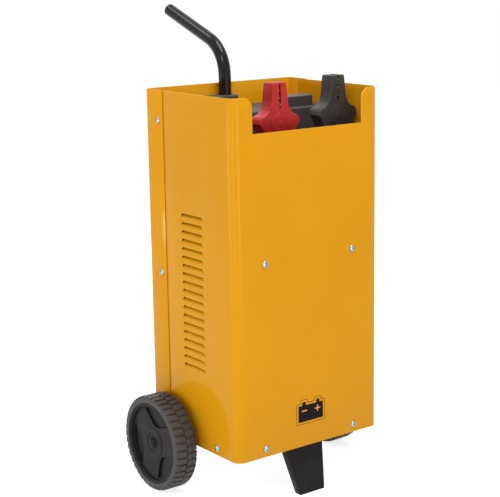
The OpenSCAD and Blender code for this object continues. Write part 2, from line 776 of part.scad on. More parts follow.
module meter_dial() {
  color("white") at_cabinet() difference() {
    block(-panel_x - 35.9, -panel_x + 35.9, panel_y + 2, panel_y + 3, meter_z - 28.9,
          meter_z + 28.9);
    bar_y(1.6, -panel_x, panel_y + 1, panel_y + 4, meter_z - 20);
  }
}

module meter_needle() {
  color("red") at_cabinet() translate([-panel_x, panel_y, meter_z - 20])
    rotate([0, needle_zero, 0]) difference() {
      union() {
        bar_y(3, 0, 3.4, 4.6, 0);
        block(-0.6, 0.6, 3.7, 4.3, -5, 40);
      }
      bar_y(1 + run_gap, 0, 3, 5.2, 0);
    }
}

module meter_window() {
  color("lightblue", 0.4) at_cabinet()
    block(-panel_x - 35.9, -panel_x + 35.9, panel_y + 7, panel_y + 8.6, meter_z - 28.9,
          meter_z + 28.9);
}

module selector_body() {
  color("dimgray") at_cabinet() difference() {
    union() {
      translate([panel_x, in_y - 26, meter_z]) rotate([-90, 0, 0])
        round_block(-20, 20, -20, 20, 0, 25.9, 3);
      bar_y(5.9, panel_x, in_y - 2, panel_y + 4, meter_z);
      translate([panel_x, panel_y, meter_z]) rotate([-90, 0, 0]) cylinder(r = 9, h = 3, $fn = 6);
    }
    bar_y(3 + run_gap, panel_x, in_y - 18, panel_y + 5, meter_z);
  }
}

module selector_knob() {
  color("black") at_cabinet() difference() {
    union() {
      bar_y(3, panel_x, in_y - 16, panel_y + 8, meter_z);
      bar_y(knob_d/2, panel_x, panel_y + 5, panel_y + 10, meter_z);
      translate([panel_x, panel_y + 9.8, meter_z]) rotate([-90, 0, 0])
        round_block(-6, 6, -knob_d/2 + 1.5, knob_d/2 - 1.5, 0, 10, 3);
    }
    // Pointer groove
    block(panel_x - 0.8, panel_x + 0.8, panel_y + 19, panel_y + 21, meter_z + 4, meter_z + 20);
  }
}

module rocker_frame() {
  color("black") at_cabinet() difference() {
    union() {
      block(-panel_x - 13, -panel_x + 13, in_y - 16, panel_y + 0.1, lower_z - 9.5, lower_z + 9.5);
      translate([-panel_x, panel_y, lower_z]) rotate([-90, 0, 0])
        round_block(-16, 16, -12.5, 12.5, 0, 2.5, 2);
    }
    block(-panel_x - 11, -panel_x + 11, in_y - 8, panel_y + 3, lower_z - 8, lower_z + 8);
    bar_x(1.5 + run_gap, -panel_x - 12.6, -panel_x + 12.6, panel_y - 1, lower_z);
  }
}

module power_rocker() {
  color("red") at_cabinet() translate([-panel_x, panel_y - 1, lower_z]) rotate([-rock_throw, 0, 0]) {
    translate([-10.6, 0, 0]) rotate([90, 0, 90]) linear_extrude(21.2)
      polygon([[-5, -6], [4.2, -7], [2.8, 0], [4.2, 7], [-5, 6]]);
    bar_x(1.5, -12.4, 12.4, 0, 0);
  }
}

module fuse_holder() {
  color("black") at_cabinet() difference() {
    union() {
      bar_y(8, panel_x, in_y - 30, panel_y + 0.1, lower_z);
      bar_y(11, panel_x, panel_y, panel_y + 3, lower_z);
      bar_y(10.5, panel_x, in_y - 4, in_y - 0.05, lower_z);
    }
    bar_y(6, panel_x, in_y - 26, panel_y + 4, lower_z);
  }
}

module fuse_cap() {
  color("black") at_cabinet() difference() {
    union() {
      bar_y(5.95, panel_x, in_y - 4, panel_y + 3.2, lower_z);
      bar_y(8, panel_x, panel_y + 3, panel_y + 9, lower_z);
    }
    block(panel_x - 6, panel_x + 6, panel_y + 8, panel_y + 10, lower_z - 0.8, lower_z + 0.8);
  }
}

module mains_gland() {
  color("black") at_cabinet() translate([gland_x, half_d, gland_z]) rotate([-90, 0, 0])
    difference() {
      union() {
        cylinder(r = 14, h = 5, $fn = 6);
        translate([0, 0, 4.8]) cylinder(r = 10.5, h = 7);
        translate([0, 0, -sheet_t - 8]) cylinder(r = 10, h = sheet_t + 9);
        translate([0, 0, -sheet_t - 5]) cylinder(r = 13, h = 4.95, $fn = 6);
      }
      translate([0, 0, -sheet_t - 9]) cylinder(r = 4.5, h = 30);
    }
}

// ---------- casing screws ----------

module cover_screws() {
  color("silver") at_cabinet() {
    for (s = [-1, 1]) {
      translate([s*front_screw_x, -half_d, front_screw_z]) rotate([90, 0, 0]) pan_screw(7);
      translate([s*low_screw_x, -half_d, low_screw_z]) rotate([90, 0, 0]) pan_screw(7);
      translate([s*back_screw_x, half_d, low_screw_z]) rotate([-90, 0, 0]) pan_screw(7);
      translate([s*half_w, side_screw_y, side_screw_z]) rotate([0, s*90, 0]) pan_screw(7);
      for (z = flange_screw_zs)
        translate([s*back_w, flange_screw_y, z]) rotate([0, s*90, 0]) pan_screw(7);
      for (z = [-1, 1])
        translate([s*(panel_w/2 - plate_screw_in), panel_y,
                   panel_z + z*(panel_h/2 - plate_screw_in)]) rotate([-90, 0, 0]) pan_screw(7);
    }
  }
}

// ---------- inside ----------

module transformer_core() {
  color("slategray") at_cabinet() difference() {
    block(-core_w/2, core_w/2, core_y - core_d/2, core_y + core_d/2, core_z + core_foot_t,
          core_z + core_foot_t + core_h);
    for (s = [0, 1]) mirror([s, 0, 0])
      block(leg_w/2, leg_w/2 + coil_t + 1, core_y - core_d/2 - 1, core_y + core_d/2 + 1,
            core_z + core_foot_t + 21, core_z + core_foot_t + core_h - 21);
  }
}

module transformer_coil() {
  color("peru") at_cabinet() difference() {
    round_block(-leg_w/2 - coil_t, leg_w/2 + coil_t, core_y - core_d/2 - coil_t,
                core_y + core_d/2 + coil_t, core_z + core_foot_t + 21.1,
                core_z + core_foot_t + core_h - 21.1, 10);
    block(-leg_w/2 - 0.05, leg_w/2 + 0.05, core_y - core_d/2 - 0.05, core_y + core_d/2 + 0.05,
          core_z, core_z + core_h);
  }
}

module core_feet() {
  color("silver") at_cabinet() for (s = [-1, 1]) difference() {
    union() {
      y = core_y + s*(core_d/2 + 1.3);
      block(-core_w/2, core_w/2, y - 1.25, y + 1.25, core_z, core_z + 24);
      near = core_y + s*(core_d/2 - 4);
      far = core_y + s*(core_d/2 + core_foot_l);
      block(-core_w/2, core_w/2, min(near, far), max(near, far), core_z, core_z + core_foot_t);
    }
    for (x = [-core_bolt_x, core_bolt_x])
      translate([x, core_bolt_ys[(s + 1)/2], core_z - 1]) cylinder(r = 3, h = core_foot_t + 2);
  }
}

module core_bolts() {
  color("silver") at_cabinet() for (x = [-core_bolt_x, core_bolt_x]) for (y = core_bolt_ys)
    translate([x, y, core_z + core_foot_t]) hex_bolt(2.95, 14, core_foot_t + pan_t);
}

module heat_sink() {
  color("silver") at_cabinet() difference() {
    union() {
      block(-sink_w/2, sink_w/2, sink_front, sink_front + sink_l, shelf_z + shelf_t,
            shelf_z + shelf_t + sink_t);
      for (i = [-7 : 7])
        block(i*fin_pitch - fin_t/2, i*fin_pitch + fin_t/2, sink_front, sink_front + fin_l,
              shelf_z + shelf_t + sink_t - 1, shelf_z + shelf_t + sink_t + fin_h);
    }
    for (i = [0 : 3])
      translate([(i - 1.5)*diode_pitch, diode_y, shelf_z + shelf_t + 1])
        cylinder(r = diode_r + fit_gap, h = sink_t + 2);
  }
}

module diodes() {
  color("silver") at_cabinet() for (i = [0 : 3])
    translate([(i - 1.5)*diode_pitch, diode_y, shelf_z + shelf_t + 1]) rotate_extrude()
      polygon([[0, 0], [diode_r, 0], [diode_r, sink_t + 3], [diode_r*0.63, sink_t + 4.5],
               [diode_r*0.22, sink_t + 5], [diode_r*0.22, sink_t + 18], [0, sink_t + 18]]);
}

// ---------- clamps ----------

// Half profile of a lever, from the jaw tip round the guard to the end of the grip.
module lever_profile() {
  difference() {
    polygon([[jaw_slit/2, jaw_l], [12.6, jaw_l], [13.8, jaw_l - 1.5], [15.6, 52], [16.9, 38],
             [18.8, 29], [22, 22], [26.6, 17], [35.5, 12.8], [38.6, 9], [41.4, 1.5],
             [36.8, -5.5], [33, -13], [30.5, -24], [30.5, -40], [33, -60], [36, -grip_drop + 8],
             [34, -grip_drop + 1], [31, -grip_drop], [24, -grip_drop], [22, -70], [18, -46],
             [13, -26], [10, -10], [heel_gap, -5], [heel_gap, heel_z],
             [jaw_slit/2, heel_z + 1.3]]);
    // Seat of the toothed strip
    translate([jaw_slit/2 - 1, 27]) square([2, jaw_l - 28.5]);
  }
}

module lever_slab(y0, y1) {
  translate([0, y1, 0]) rotate([90, 0, 0]) linear_extrude(y1 - y0) lever_profile();
}

// Right-hand lever: two inner knuckle cheeks with room for the spring between them.
module moving_lever() {
  difference() {
    union() {
      difference() {
        lever_slab(-clamp_t/2, clamp_t/2);
        bar_y(knuckle_r + 0.5, 0, -clamp_t/2 - 1, clamp_t/2 + 1, 0);
        // Hollow inner side of the grip
        block(pin_r, grip_wall_x, -clamp_t/2 + 5, clamp_t/2 - 5, -grip_drop + 13, -34);
      }
      for (s = [-1, 1]) {
        y = s*(knuckle_in + 4.3)/2;
        bar_y(knuckle_r, 0, y - (knuckle_in - 4.3)/2, y + (knuckle_in - 4.3)/2, 0);
        block(12, 24, y - (knuckle_in - 4.3)/2, y + (knuckle_in - 4.3)/2, -12, 12);
      }
    }
    bar_y(pin_r + run_gap, 0, -clamp_t, clamp_t, 0);
  }
}

// Left-hand lever: two outer knuckle discs, the ones that show.
module still_lever() {
  difference() {
    union() {
      difference() {
        mirror([1, 0, 0]) lever_slab(-clamp_t/2, clamp_t/2);
        bar_y(knuckle_r + 0.5, 0, -knuckle_in - 0.3, knuckle_in + 0.3, 0);
        block(-grip_wall_x, -pin_r, -clamp_t/2 + 5, clamp_t/2 - 5, -grip_drop + 13, -34);
      }
      for (s = [-1, 1]) {
        y0 = s > 0 ? knuckle_in + 0.3 : -clamp_t/2 - 0.6;
        bar_y(knuckle_r, 0, y0, y0 + clamp_t/2 + 0.3 - knuckle_in, 0);
      }
    }
    bar_y(pin_r + fit_gap, 0, -clamp_t, clamp_t, 0);
    for (s = [-1, 1]) {
      y = s*(clamp_t/2 + 0.1);
      bar_y(pin_r + 3.05, 0, y - 0.8, y + 0.8, 0);
    }
  }
}

module clamp_pin() {
  bar_y(pin_r, 0, -clamp_t/2 - 0.1, clamp_t/2 + 0.1, 0);
  bar_y(pin_r + 3, 0, -clamp_t/2 - 0.6, -clamp_t/2 + 0.6, 0);
  bar_y(pin_r + 3, 0, clamp_t/2 - 0.6, clamp_t/2 + 0.6, 0);
}

// Close-wound coil on the pin with a leg down each grip.
module clamp_spring() {
  for (i = [-1 : 1]) translate([0, i*2.4, 0]) rotate([90, 0, 0]) rotate_extrude()
    translate([pin_r + 1.6, 0]) circle(1.25);
  for (s = [-1, 1]) translate([s*(pin_r + 1.6), s*2.4, 0]) rotate([0, 180 - s*20, 0])
    cylinder(r = 1.2, h = 13);
}

// Toothed brass strip on the inside of a jaw, drawn for the right-hand jaw.
module jaw_teeth() {
  teeth = 9;
  z0 = 28;
  step = (jaw_l - 2 - z0)/teeth;
  translate([0, clamp_t/2 - 1.5, 0]) rotate([90, 0, 0]) linear_extrude(clamp_t - 3)
    polygon(concat([[jaw_slit/2 + 1, z0], [jaw_slit/2 + 1, z0 + teeth*step]],
      [for (i = [0 : 2*teeth]) [i % 2 == 0 ? jaw_slit/2 - 0.3 : 0.25, z0 + teeth*step - i*step/2]]));
}

module at_red() { at_cabinet() translate([red_x, clamp_y, red_z]) children(); }
module at_black() { at_cabinet() translate([black_x, clamp_y, black_z]) children(); }

module red_lever() { color("crimson") at_red() still_lever(); }
module red_moving_lever() { color("crimson") at_red() moving_lever(); }
module red_pin() { color("crimson") at_red() clamp_pin(); }
module red_spring() { color("silver") at_red() clamp_spring(); }
module red_teeth() { color("goldenrod") at_red() mirror([1, 0, 0]) jaw_teeth(); }
module red_moving_teeth() { color("goldenrod") at_red() jaw_teeth(); }
module black_lever() { color("dimgray") at_black() still_lever(); }
module black_moving_lever() { color("dimgray") at_black() moving_lever(); }
module black_pin() { color("dimgray") at_black() clamp_pin(); }
module black_spring() { color("silver") at_black() clamp_spring(); }
module black_teeth() { color("goldenrod") at_black() mirror([1, 0, 0]) jaw_teeth(); }
module black_moving_teeth() { color("goldenrod") at_black() jaw_teeth(); }

front_cover();
rear_cover();
base_pan();
shelf();
foot();
foot_bolts();
axle();
left_axle_block();
right_axle_block();
block_bolts();
spacer_sleeves();
left_rim();
right_rim();
left_tyre();
right_tyre();
left_cap();
right_cap();
handle_tube();
handle_plug();
upper_saddle();
lower_saddle();
saddle_bolts();
tray();
tray_posts();
tray_screws();
lead_glands();
control_plate();
meter_case();
meter_dial();
meter_needle();
meter_window();
selector_body();
selector_knob();
rocker_frame();
power_rocker();
fuse_holder();
fuse_cap();
mains_gland();
cover_screws();
transformer_core();
transformer_coil();
core_feet();
core_bolts();
heat_sink();
diodes();
red_lever();
red_moving_lever();
red_pin();
red_spring();
red_teeth();
red_moving_teeth();
black_lever();
black_moving_lever();
black_pin();
black_spring();
black_teeth();
black_moving_teeth();
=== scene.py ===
# %% [markdown]
# # A wheeled battery charger
#
# The charger is a tall box bent from two painted sheets, on two plastic wheels and a front foot.
# A bent tube is its handle, and a tray in the top holds a red and a black sprung clamp. The CAD
# model gives every size. This lesson dresses it: pieces that need soft edges or fine detail are
# modelled again at the same size and place, and the rest gets a finish.

# %% Load the frame
import json
import math

import bmesh
import bpy
from mathutils import Matrix, Vector


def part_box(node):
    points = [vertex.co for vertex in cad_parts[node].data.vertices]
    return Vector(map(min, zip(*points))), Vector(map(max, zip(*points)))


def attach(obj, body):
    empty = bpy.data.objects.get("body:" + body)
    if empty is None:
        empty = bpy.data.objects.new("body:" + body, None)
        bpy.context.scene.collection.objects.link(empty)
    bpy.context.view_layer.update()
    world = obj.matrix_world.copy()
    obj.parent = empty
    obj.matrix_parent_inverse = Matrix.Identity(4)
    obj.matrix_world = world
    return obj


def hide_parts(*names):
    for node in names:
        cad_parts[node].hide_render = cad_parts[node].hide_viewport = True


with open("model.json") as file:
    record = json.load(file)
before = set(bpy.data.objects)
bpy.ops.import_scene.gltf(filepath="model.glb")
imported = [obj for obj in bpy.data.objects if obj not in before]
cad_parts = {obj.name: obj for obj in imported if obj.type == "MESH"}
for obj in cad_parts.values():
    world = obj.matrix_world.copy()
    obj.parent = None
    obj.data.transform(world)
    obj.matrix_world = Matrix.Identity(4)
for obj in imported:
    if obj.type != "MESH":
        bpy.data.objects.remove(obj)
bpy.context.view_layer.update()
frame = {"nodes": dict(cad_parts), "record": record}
nodes = frame["nodes"]

# %% [markdown]
# Sizes are easiest to read in millimetres from the middle of the casing floor, as on a workshop
# drawing. `at` turns such a place into metres in the shared frame.

# %% Places in the casing
MM = 0.001
casing_low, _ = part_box("front_cover")
half_w, half_d = 154.0, 122.0
casing_origin = Vector((0.0, casing_low.y + half_d * MM, casing_low.z))


def at(x, y, z):
    """A place in the frame, from millimetres across, back and up from the casing floor."""
    return casing_origin + Vector((x, y, z)) * MM


print("casing origin", tuple(round(c, 4) for c in casing_origin))

# %% [markdown]
# ## Camera
#
# The camera stands left of the front, a little above the top of the casing, with a long lens. The
# back, right and up directions are worked out from the two angles and a small roll.

# %% Camera
camera_place = (-1362.683, -1785.266, 807.551)
azimuth, elevation, roll = (math.radians(a) for a in (-37.326, 11.088, -0.7907))
back = Vector((math.sin(azimuth) * math.cos(elevation),
               -math.cos(azimuth) * math.cos(elevation), math.sin(elevation)))
level_right = (-back).cross(Vector((0, 0, 1))).normalized()
level_up = level_right.cross(-back)
cam_right = math.cos(roll) * level_right + math.sin(roll) * level_up
cam_up = -math.sin(roll) * level_right + math.cos(roll) * level_up
camera = bpy.data.objects.new("camera", bpy.data.cameras.new("camera"))
bpy.context.scene.collection.objects.link(camera)
turn = Matrix((cam_right, cam_up, back)).transposed().to_4x4()
camera.matrix_world = Matrix.Translation(at(*camera_place)) @ turn
camera.data.sensor_width = 36
camera.data.lens = 95.537
camera.data.shift_x = -0.02755
camera.data.shift_y = -0.0523
bpy.context.scene.camera = camera
print("camera at", tuple(round(c, 3) for c in camera.location))

# %% [markdown]
# ## Finishes
#
# Every finish is a small node tree on one Principled shader. Paint, plastic and rubber are never
# one flat colour: a soft noise moves the colour and the roughness a little, and a fine noise
# lifts the surface. The noise reads Object coordinates, so it stays on the piece and needs no
# unwrapping.

# %% Shader and noise
def new_finish(name, metallic=0.0, coat=0.0, specular=0.5):
    """A new finish, its node tree and its Principled shader."""
    finish = bpy.data.materials.new(name)
    finish.use_nodes = True
    tree = finish.node_tree
    shader = tree.nodes["Principled BSDF"]
    shader.inputs["Metallic"].default_value = metallic
    shader.inputs["Coat Weight"].default_value = coat
    shader.inputs["Coat Roughness"].default_value = 0.1
    shader.inputs["Specular IOR Level"].default_value = specular
    return finish, tree, shader


def noise(tree, scale, detail=3.0, stretch=None):
    """A noise pattern on the piece's own coordinates, stretched along one axis if asked."""
    place = tree.nodes.new("ShaderNodeTexCoord")
    grain = tree.nodes.new("ShaderNodeTexNoise")
    grain.inputs["Scale"].default_value = scale
    grain.inputs["Detail"].default_value = detail
    source = place.outputs["Object"]
    if stretch:
        mapping = tree.nodes.new("ShaderNodeMapping")
        mapping.inputs["Scale"].default_value = stretch
        tree.links.new(source, mapping.inputs["Vector"])
        source = mapping.outputs["Vector"]
    tree.links.new(source, grain.inputs["Vector"])
    return grain.outputs["Fac"]


# %% [markdown]
# A pattern is a number between nought and one. It can lead a roughness, lead a colour, or lift
# the surface. One function that does all three then stands for most finishes of a workshop.

# %% Pattern to finish
def spread(tree, value, low, high):
    """Maps a pattern's middle range on to two numbers."""
    step = tree.nodes.new("ShaderNodeMapRange")
    step.inputs["From Min"].default_value = 0.3
    step.inputs["From Max"].default_value = 0.7
    step.inputs["To Min"].default_value = low
    step.inputs["To Max"].default_value = high
    tree.links.new(value, step.inputs["Value"])
    return step.outputs["Result"]


def two_tone(tree, value, dark, light):
    """A colour between two, led by a pattern."""
    ramp = tree.nodes.new("ShaderNodeValToRGB")
    ramp.color_ramp.elements[0].position = 0.35
    ramp.color_ramp.elements[1].position = 0.65
    ramp.color_ramp.elements[0].color = (*dark, 1)
    ramp.color_ramp.elements[1].color = (*light, 1)
    tree.links.new(value, ramp.inputs["Fac"])
    return ramp.outputs["Color"]


def lift(tree, shader, value, strength):
    """Raises the surface a little with a pattern."""
    bump = tree.nodes.new("ShaderNodeBump")
    bump.inputs["Strength"].default_value = strength
    bump.inputs["Distance"].default_value = 0.0003
    tree.links.new(value, bump.inputs["Height"])
    tree.links.new(bump.outputs["Normal"], shader.inputs["Normal"])


def grained(name, dark, light, rough, patch=18.0, grain=900.0, strength=0.2, stretch=None,
            **shader_values):
    """A finish with soft colour patches, uneven roughness and a fine grain."""
    finish, tree, shader = new_finish(name, **shader_values)
    patches = noise(tree, patch, 4.0, stretch)
    tree.links.new(two_tone(tree, patches, dark, light), shader.inputs["Base Color"])
    tree.links.new(spread(tree, patches, *rough), shader.inputs["Roughness"])
    lift(tree, shader, noise(tree, grain, 2.0, stretch), strength)
    return finish


# %% [markdown]
# The casing is powder coated: a smooth orange yellow with a faint orange-peel surface and a
# soft shine. The sheet's cut edges get a much paler orange, a painted highlight for the light
# that their thin rounded edges catch. The handle is enamelled black steel and glossier, and the
# foot is duller. The two colours of a paint are close together, because paint is even.

# %% Paints
yellow_paint = grained("yellow_paint", (0.715, 0.311, 0.005), (0.735, 0.325, 0.006),
                       (0.12, 0.16), patch=9, grain=260, strength=0.01, specular=0.08)
black_enamel = grained("black_enamel", (0.009, 0.008, 0.007), (0.013, 0.011, 0.010), (0.13, 0.19),
                       patch=20, grain=60, strength=0.002, specular=0.2)
# Painted highlight: the sheet's cut edges get a much paler orange than the paint, for the light they
# catch.
painted_edge_highlight = grained("painted_edge_highlight", (0.86, 0.52, 0.12), (0.92, 0.60, 0.18), (0.25, 0.35), patch=60,
                   grain=400, strength=0.03, specular=0.3)
foot_enamel = grained("foot_enamel", (0.010, 0.010, 0.009), (0.014, 0.013, 0.012), (0.36, 0.46),
                      patch=24, grain=420, strength=0.08, specular=0.1)
print("paints", len(bpy.data.materials))

# %% [markdown]
# Plastics differ in grain: the tray and the clamps are softly textured, the wheels are plain
# moulded plastic, and knobs are polished, so they get a clear coat. Rubber is rougher and paler
# than plastic, with larger differences from place to place.

# %% Plastics and rubber
tray_plastic = grained("tray_plastic", (0.052, 0.050, 0.048), (0.066, 0.063, 0.061),
                       (0.42, 0.55), patch=30, grain=1400, strength=0.25)
clamp_red = grained("clamp_red", (0.44, 0.015, 0.014), (0.49, 0.020, 0.018), (0.34, 0.44),
                    patch=35, grain=1500, strength=0.18, specular=0.3)
clamp_black = grained("clamp_black", (0.036, 0.032, 0.032), (0.046, 0.042, 0.041), (0.36, 0.46),
                      patch=35, grain=1500, strength=0.18, specular=0.25)
wheel_plastic = grained("wheel_plastic", (0.011, 0.009, 0.009), (0.015, 0.013, 0.012),
                        (0.42, 0.54), patch=28, grain=900, strength=0.2, specular=0.12)
tyre_rubber = grained("tyre_rubber", (0.042, 0.038, 0.037), (0.056, 0.051, 0.049), (0.45, 0.6),
                      patch=60, grain=1100, strength=0.4, specular=0.3)
black_plastic = grained("black_plastic", (0.020, 0.019, 0.019), (0.030, 0.029, 0.028),
                        (0.38, 0.50), patch=40, grain=1200, strength=0.2)
gloss_black = grained("gloss_black", (0.012, 0.012, 0.012), (0.018, 0.018, 0.018), (0.12, 0.2),
                      patch=30, grain=500, strength=0.03, coat=0.4)
plate_black = grained("plate_black", (0.016, 0.016, 0.017), (0.024, 0.024, 0.025), (0.36, 0.48),
                      patch=22, grain=1600, strength=0.15)
gloss_red = grained("gloss_red", (0.50, 0.012, 0.010), (0.58, 0.018, 0.014), (0.14, 0.22),
                    patch=30, grain=400, strength=0.03, coat=0.4)
print("with plastics and rubber", len(bpy.data.materials))

# %% [markdown]
# Metals are told apart by colour and by how they were worked. Drawn and milled parts have their
# noise stretched along one axis, like the marks of a tool. The toothed strips are brass with
# painted shade: much of their colour is near black, for the shade in the slit between the
# jaws, and their colour ramp is steeper, so that the noise falls into brass spots.

# %% Metals
nickel = grained("nickel", (0.30, 0.30, 0.32), (0.40, 0.40, 0.43), (0.2, 0.32), patch=400,
                 grain=2200, strength=0.05, metallic=1.0)
zinc = grained("zinc", (0.46, 0.47, 0.48), (0.66, 0.66, 0.66), (0.34, 0.5), patch=90, grain=700,
               strength=0.1, metallic=1.0)
bright_steel = grained("bright_steel", (0.52, 0.52, 0.53), (0.66, 0.66, 0.67), (0.22, 0.32),
                       patch=60, grain=900, strength=0.06, stretch=(0.05, 1, 1), metallic=1.0)
brass = grained("brass", (0.46, 0.33, 0.09), (0.66, 0.50, 0.18), (0.28, 0.42), patch=240,
                grain=1600, strength=0.1, metallic=1.0)
# Painted shade: the near-black colour stands for the shade in the clamps' slit.
brass_painted_shade = grained("brass_painted_shade", (0.010, 0.008, 0.006), (0.62, 0.46, 0.16), (0.28, 0.42),
                        patch=420, grain=1600, strength=0.3, metallic=0.6)
tooth_ramp = brass_painted_shade.node_tree.nodes["Color Ramp"].color_ramp
tooth_ramp.elements[1].position, tooth_ramp.elements[0].position = 0.62, 0.5
aluminium = grained("aluminium", (0.66, 0.67, 0.68), (0.80, 0.80, 0.81), (0.3, 0.42), patch=50,
                    grain=900, strength=0.08, stretch=(1, 0.05, 1), metallic=1.0)
copper_wire = grained("copper_wire", (0.30, 0.09, 0.025), (0.52, 0.19, 0.06), (0.22, 0.36),
                      patch=60, grain=500, strength=0.5, stretch=(1, 1, 9), coat=0.6)
core_iron = grained("core_iron", (0.10, 0.11, 0.12), (0.20, 0.21, 0.22), (0.4, 0.6), patch=40,
                    grain=260, strength=0.6, stretch=(1, 12, 1), metallic=0.8)
print("with metals", len(bpy.data.materials))

# %% [markdown]
# Printed things are flat and matt: a dial and three inks. The window of the meter is clear
# plastic, so its shader lets light through and bends it.

# %% Dial, inks and window
dial_white = grained("dial_white", (0.74, 0.74, 0.70), (0.80, 0.80, 0.77), (0.45, 0.55),
                     patch=40, grain=900, strength=0.03)
ink_black = grained("ink_black", (0.006, 0.006, 0.005), (0.009, 0.008, 0.007), (0.32, 0.42),
                    patch=60, grain=700, strength=0.05, specular=0.06)
ink_white = grained("ink_white", (0.70, 0.70, 0.69), (0.80, 0.80, 0.79), (0.4, 0.5), patch=60,
                    grain=700, strength=0.05)
ink_yellow = grained("ink_yellow", (0.700, 0.300, 0.010), (0.745, 0.334, 0.012), (0.34, 0.42),
                     patch=20, grain=260, strength=0.05)

clear_window, window_tree, window_shader = new_finish("clear_window")
window_shader.inputs["Transmission Weight"].default_value = 1.0
window_shader.inputs["IOR"].default_value = 1.49
window_tree.links.new(two_tone(window_tree, noise(window_tree, 12), (0.93, 0.95, 0.95),
                               (0.98, 0.99, 0.99)), window_shader.inputs["Base Color"])
window_tree.links.new(spread(window_tree, noise(window_tree, 30), 0.02, 0.05),
                      window_shader.inputs["Roughness"])
print("finishes", len(bpy.data.materials))

# %% [markdown]
# Each CAD node keeps its shape and takes a finish by its slot in the record. Nodes that are
# modelled again further on are hidden then.

# %% Dress the CAD nodes
slot_finish = {
    "yellow_paint": yellow_paint, "yellow_rear": yellow_paint, "black_paint": black_enamel,
    "zinc": zinc, "steel": bright_steel, "screws": nickel, "aluminium": aluminium,
    "brass": brass, "tyre": tyre_rubber, "wheel_plastic": wheel_plastic,
    "tray_plastic": tray_plastic, "black_plastic": black_plastic, "gloss_black": gloss_black,
    "red_plastic": clamp_red, "red_gloss": gloss_red, "dial_white": dial_white,
    "window": clear_window, "copper_coil": copper_wire, "iron": core_iron,
}
node_slot = {p["node"]: p["material_slot"] for p in frame["record"]["subparts"]}
for node, slot in node_slot.items():
    nodes[node].data.materials.clear()
    nodes[node].data.materials.append(slot_finish[slot])
for name in ("black_lever", "black_moving_lever", "black_pin"):
    nodes[name].data.materials[0] = clamp_black
# The teeth take the brass with painted shade, dark for the shade in the slit.
for name in ("red_teeth", "red_moving_teeth", "black_teeth", "black_moving_teeth"):
    nodes[name].data.materials[0] = brass_painted_shade
nodes["foot"].data.materials[0] = foot_enamel
nodes["control_plate"].data.materials[0] = plate_black
print("dressed", len(node_slot))

# %% [markdown]
# ## Floor, backdrop and light
#
# The charger stands on a white floor under soft studio light. Floor and world are brighter for
# the camera and for reflections than for the light that falls on the charger. So the background
# is white, the floor keeps a soft shadow, and the light on the charger stays plain. The floor
# adds a glow to a matt surface, and the glow is there only for what sees it directly.

# %% Floor
def seen_directly(tree):
    """One for what the camera sees, straight or by way of gloss or glass, and else nought."""
    rays = tree.nodes.new("ShaderNodeLightPath")
    found = rays.outputs["Is Camera Ray"]
    for kind in ("Is Glossy Ray", "Is Transmission Ray"):
        either = tree.nodes.new("ShaderNodeMath")
        either.operation = "MAXIMUM"
        tree.links.new(found, either.inputs[0])
        tree.links.new(rays.outputs[kind], either.inputs[1])
        found = either.outputs[0]
    return found


bpy.ops.object.select_all(action="DESELECT")
bpy.ops.mesh.primitive_plane_add(size=60, location=(0, 0, -0.0002))
floor = bpy.context.object
floor.name = "floor"
bpy.ops.object.transform_apply(location=True, rotation=True, scale=True)
floor_paint = bpy.data.materials.new("white_floor")
floor_paint.use_nodes = True
floor_tree = floor_paint.node_tree
floor_tree.nodes.clear()
floor_out = floor_tree.nodes.new("ShaderNodeOutputMaterial")
floor_matt = floor_tree.nodes.new("ShaderNodeBsdfDiffuse")
floor_matt.inputs["Color"].default_value = (0.62, 0.62, 0.62, 1)
floor_glow = floor_tree.nodes.new("ShaderNodeEmission")
floor_sum = floor_tree.nodes.new("ShaderNodeAddShader")
glow_level = floor_tree.nodes.new("ShaderNodeMath")
glow_level.operation = "MULTIPLY"
glow_level.inputs[1].default_value = 0.76
floor_tree.links.new(seen_directly(floor_tree), glow_level.inputs[0])
floor_tree.links.new(glow_level.outputs[0], floor_glow.inputs["Strength"])
floor_tree.links.new(floor_matt.outputs[0], floor_sum.inputs[0])
floor_tree.links.new(floor_glow.outputs[0], floor_sum.inputs[1])
floor_tree.links.new(floor_sum.outputs[0], floor_out.inputs["Surface"])
floor.data.materials.append(floor_paint)
print("floor", tuple(floor.dimensions))

# %% [markdown]
# The world works the same way: a plain white sky that is fully bright where it is seen, and
# dimmer where it lights the charger.

# %% World
world = bpy.data.worlds.new("studio")
bpy.context.scene.world = world
world.use_nodes = True
sky = world.node_tree.nodes["Background"]
sky.inputs["Color"].default_value = (1, 1, 1, 1)
strength = world.node_tree.nodes.new("ShaderNodeMapRange")
strength.inputs["To Min"].default_value = 0.42
strength.inputs["To Max"].default_value = 1.0
world.node_tree.links.new(seen_directly(world.node_tree), strength.inputs["Value"])
world.node_tree.links.new(strength.outputs[0], sky.inputs["Strength"])
bpy.context.scene.view_settings.view_transform = "Standard"
print("view", bpy.context.scene.view_settings.view_transform)


# %% [markdown]
# Two soft boxes stand low at the left and in front, with a narrow strip between them. They light
# the two walls evenly, and the round front bend mirrors them as upright streaks. They have to be
# low and wide: seen from the camera, an upright wall mirrors what is near the floor, and a bend
# squeezes a wide box into a thin line. The other lamps fill the tray, the back and the handle.

# %% Lamps
def soft_lamp(name, place, aim, size, power):
    """A flat lamp that looks at one place."""
    lamp = bpy.data.objects.new(name, bpy.data.lights.new(name, "AREA"))
    lamp.data.shape = "RECTANGLE"
    lamp.data.size, lamp.data.size_y = size
    lamp.data.energy = power
    bpy.context.scene.collection.objects.link(lamp)
    lamp.location = place
    lamp.rotation_euler = (Vector(aim) - Vector(place)).to_track_quat("-Z", "Y").to_euler()


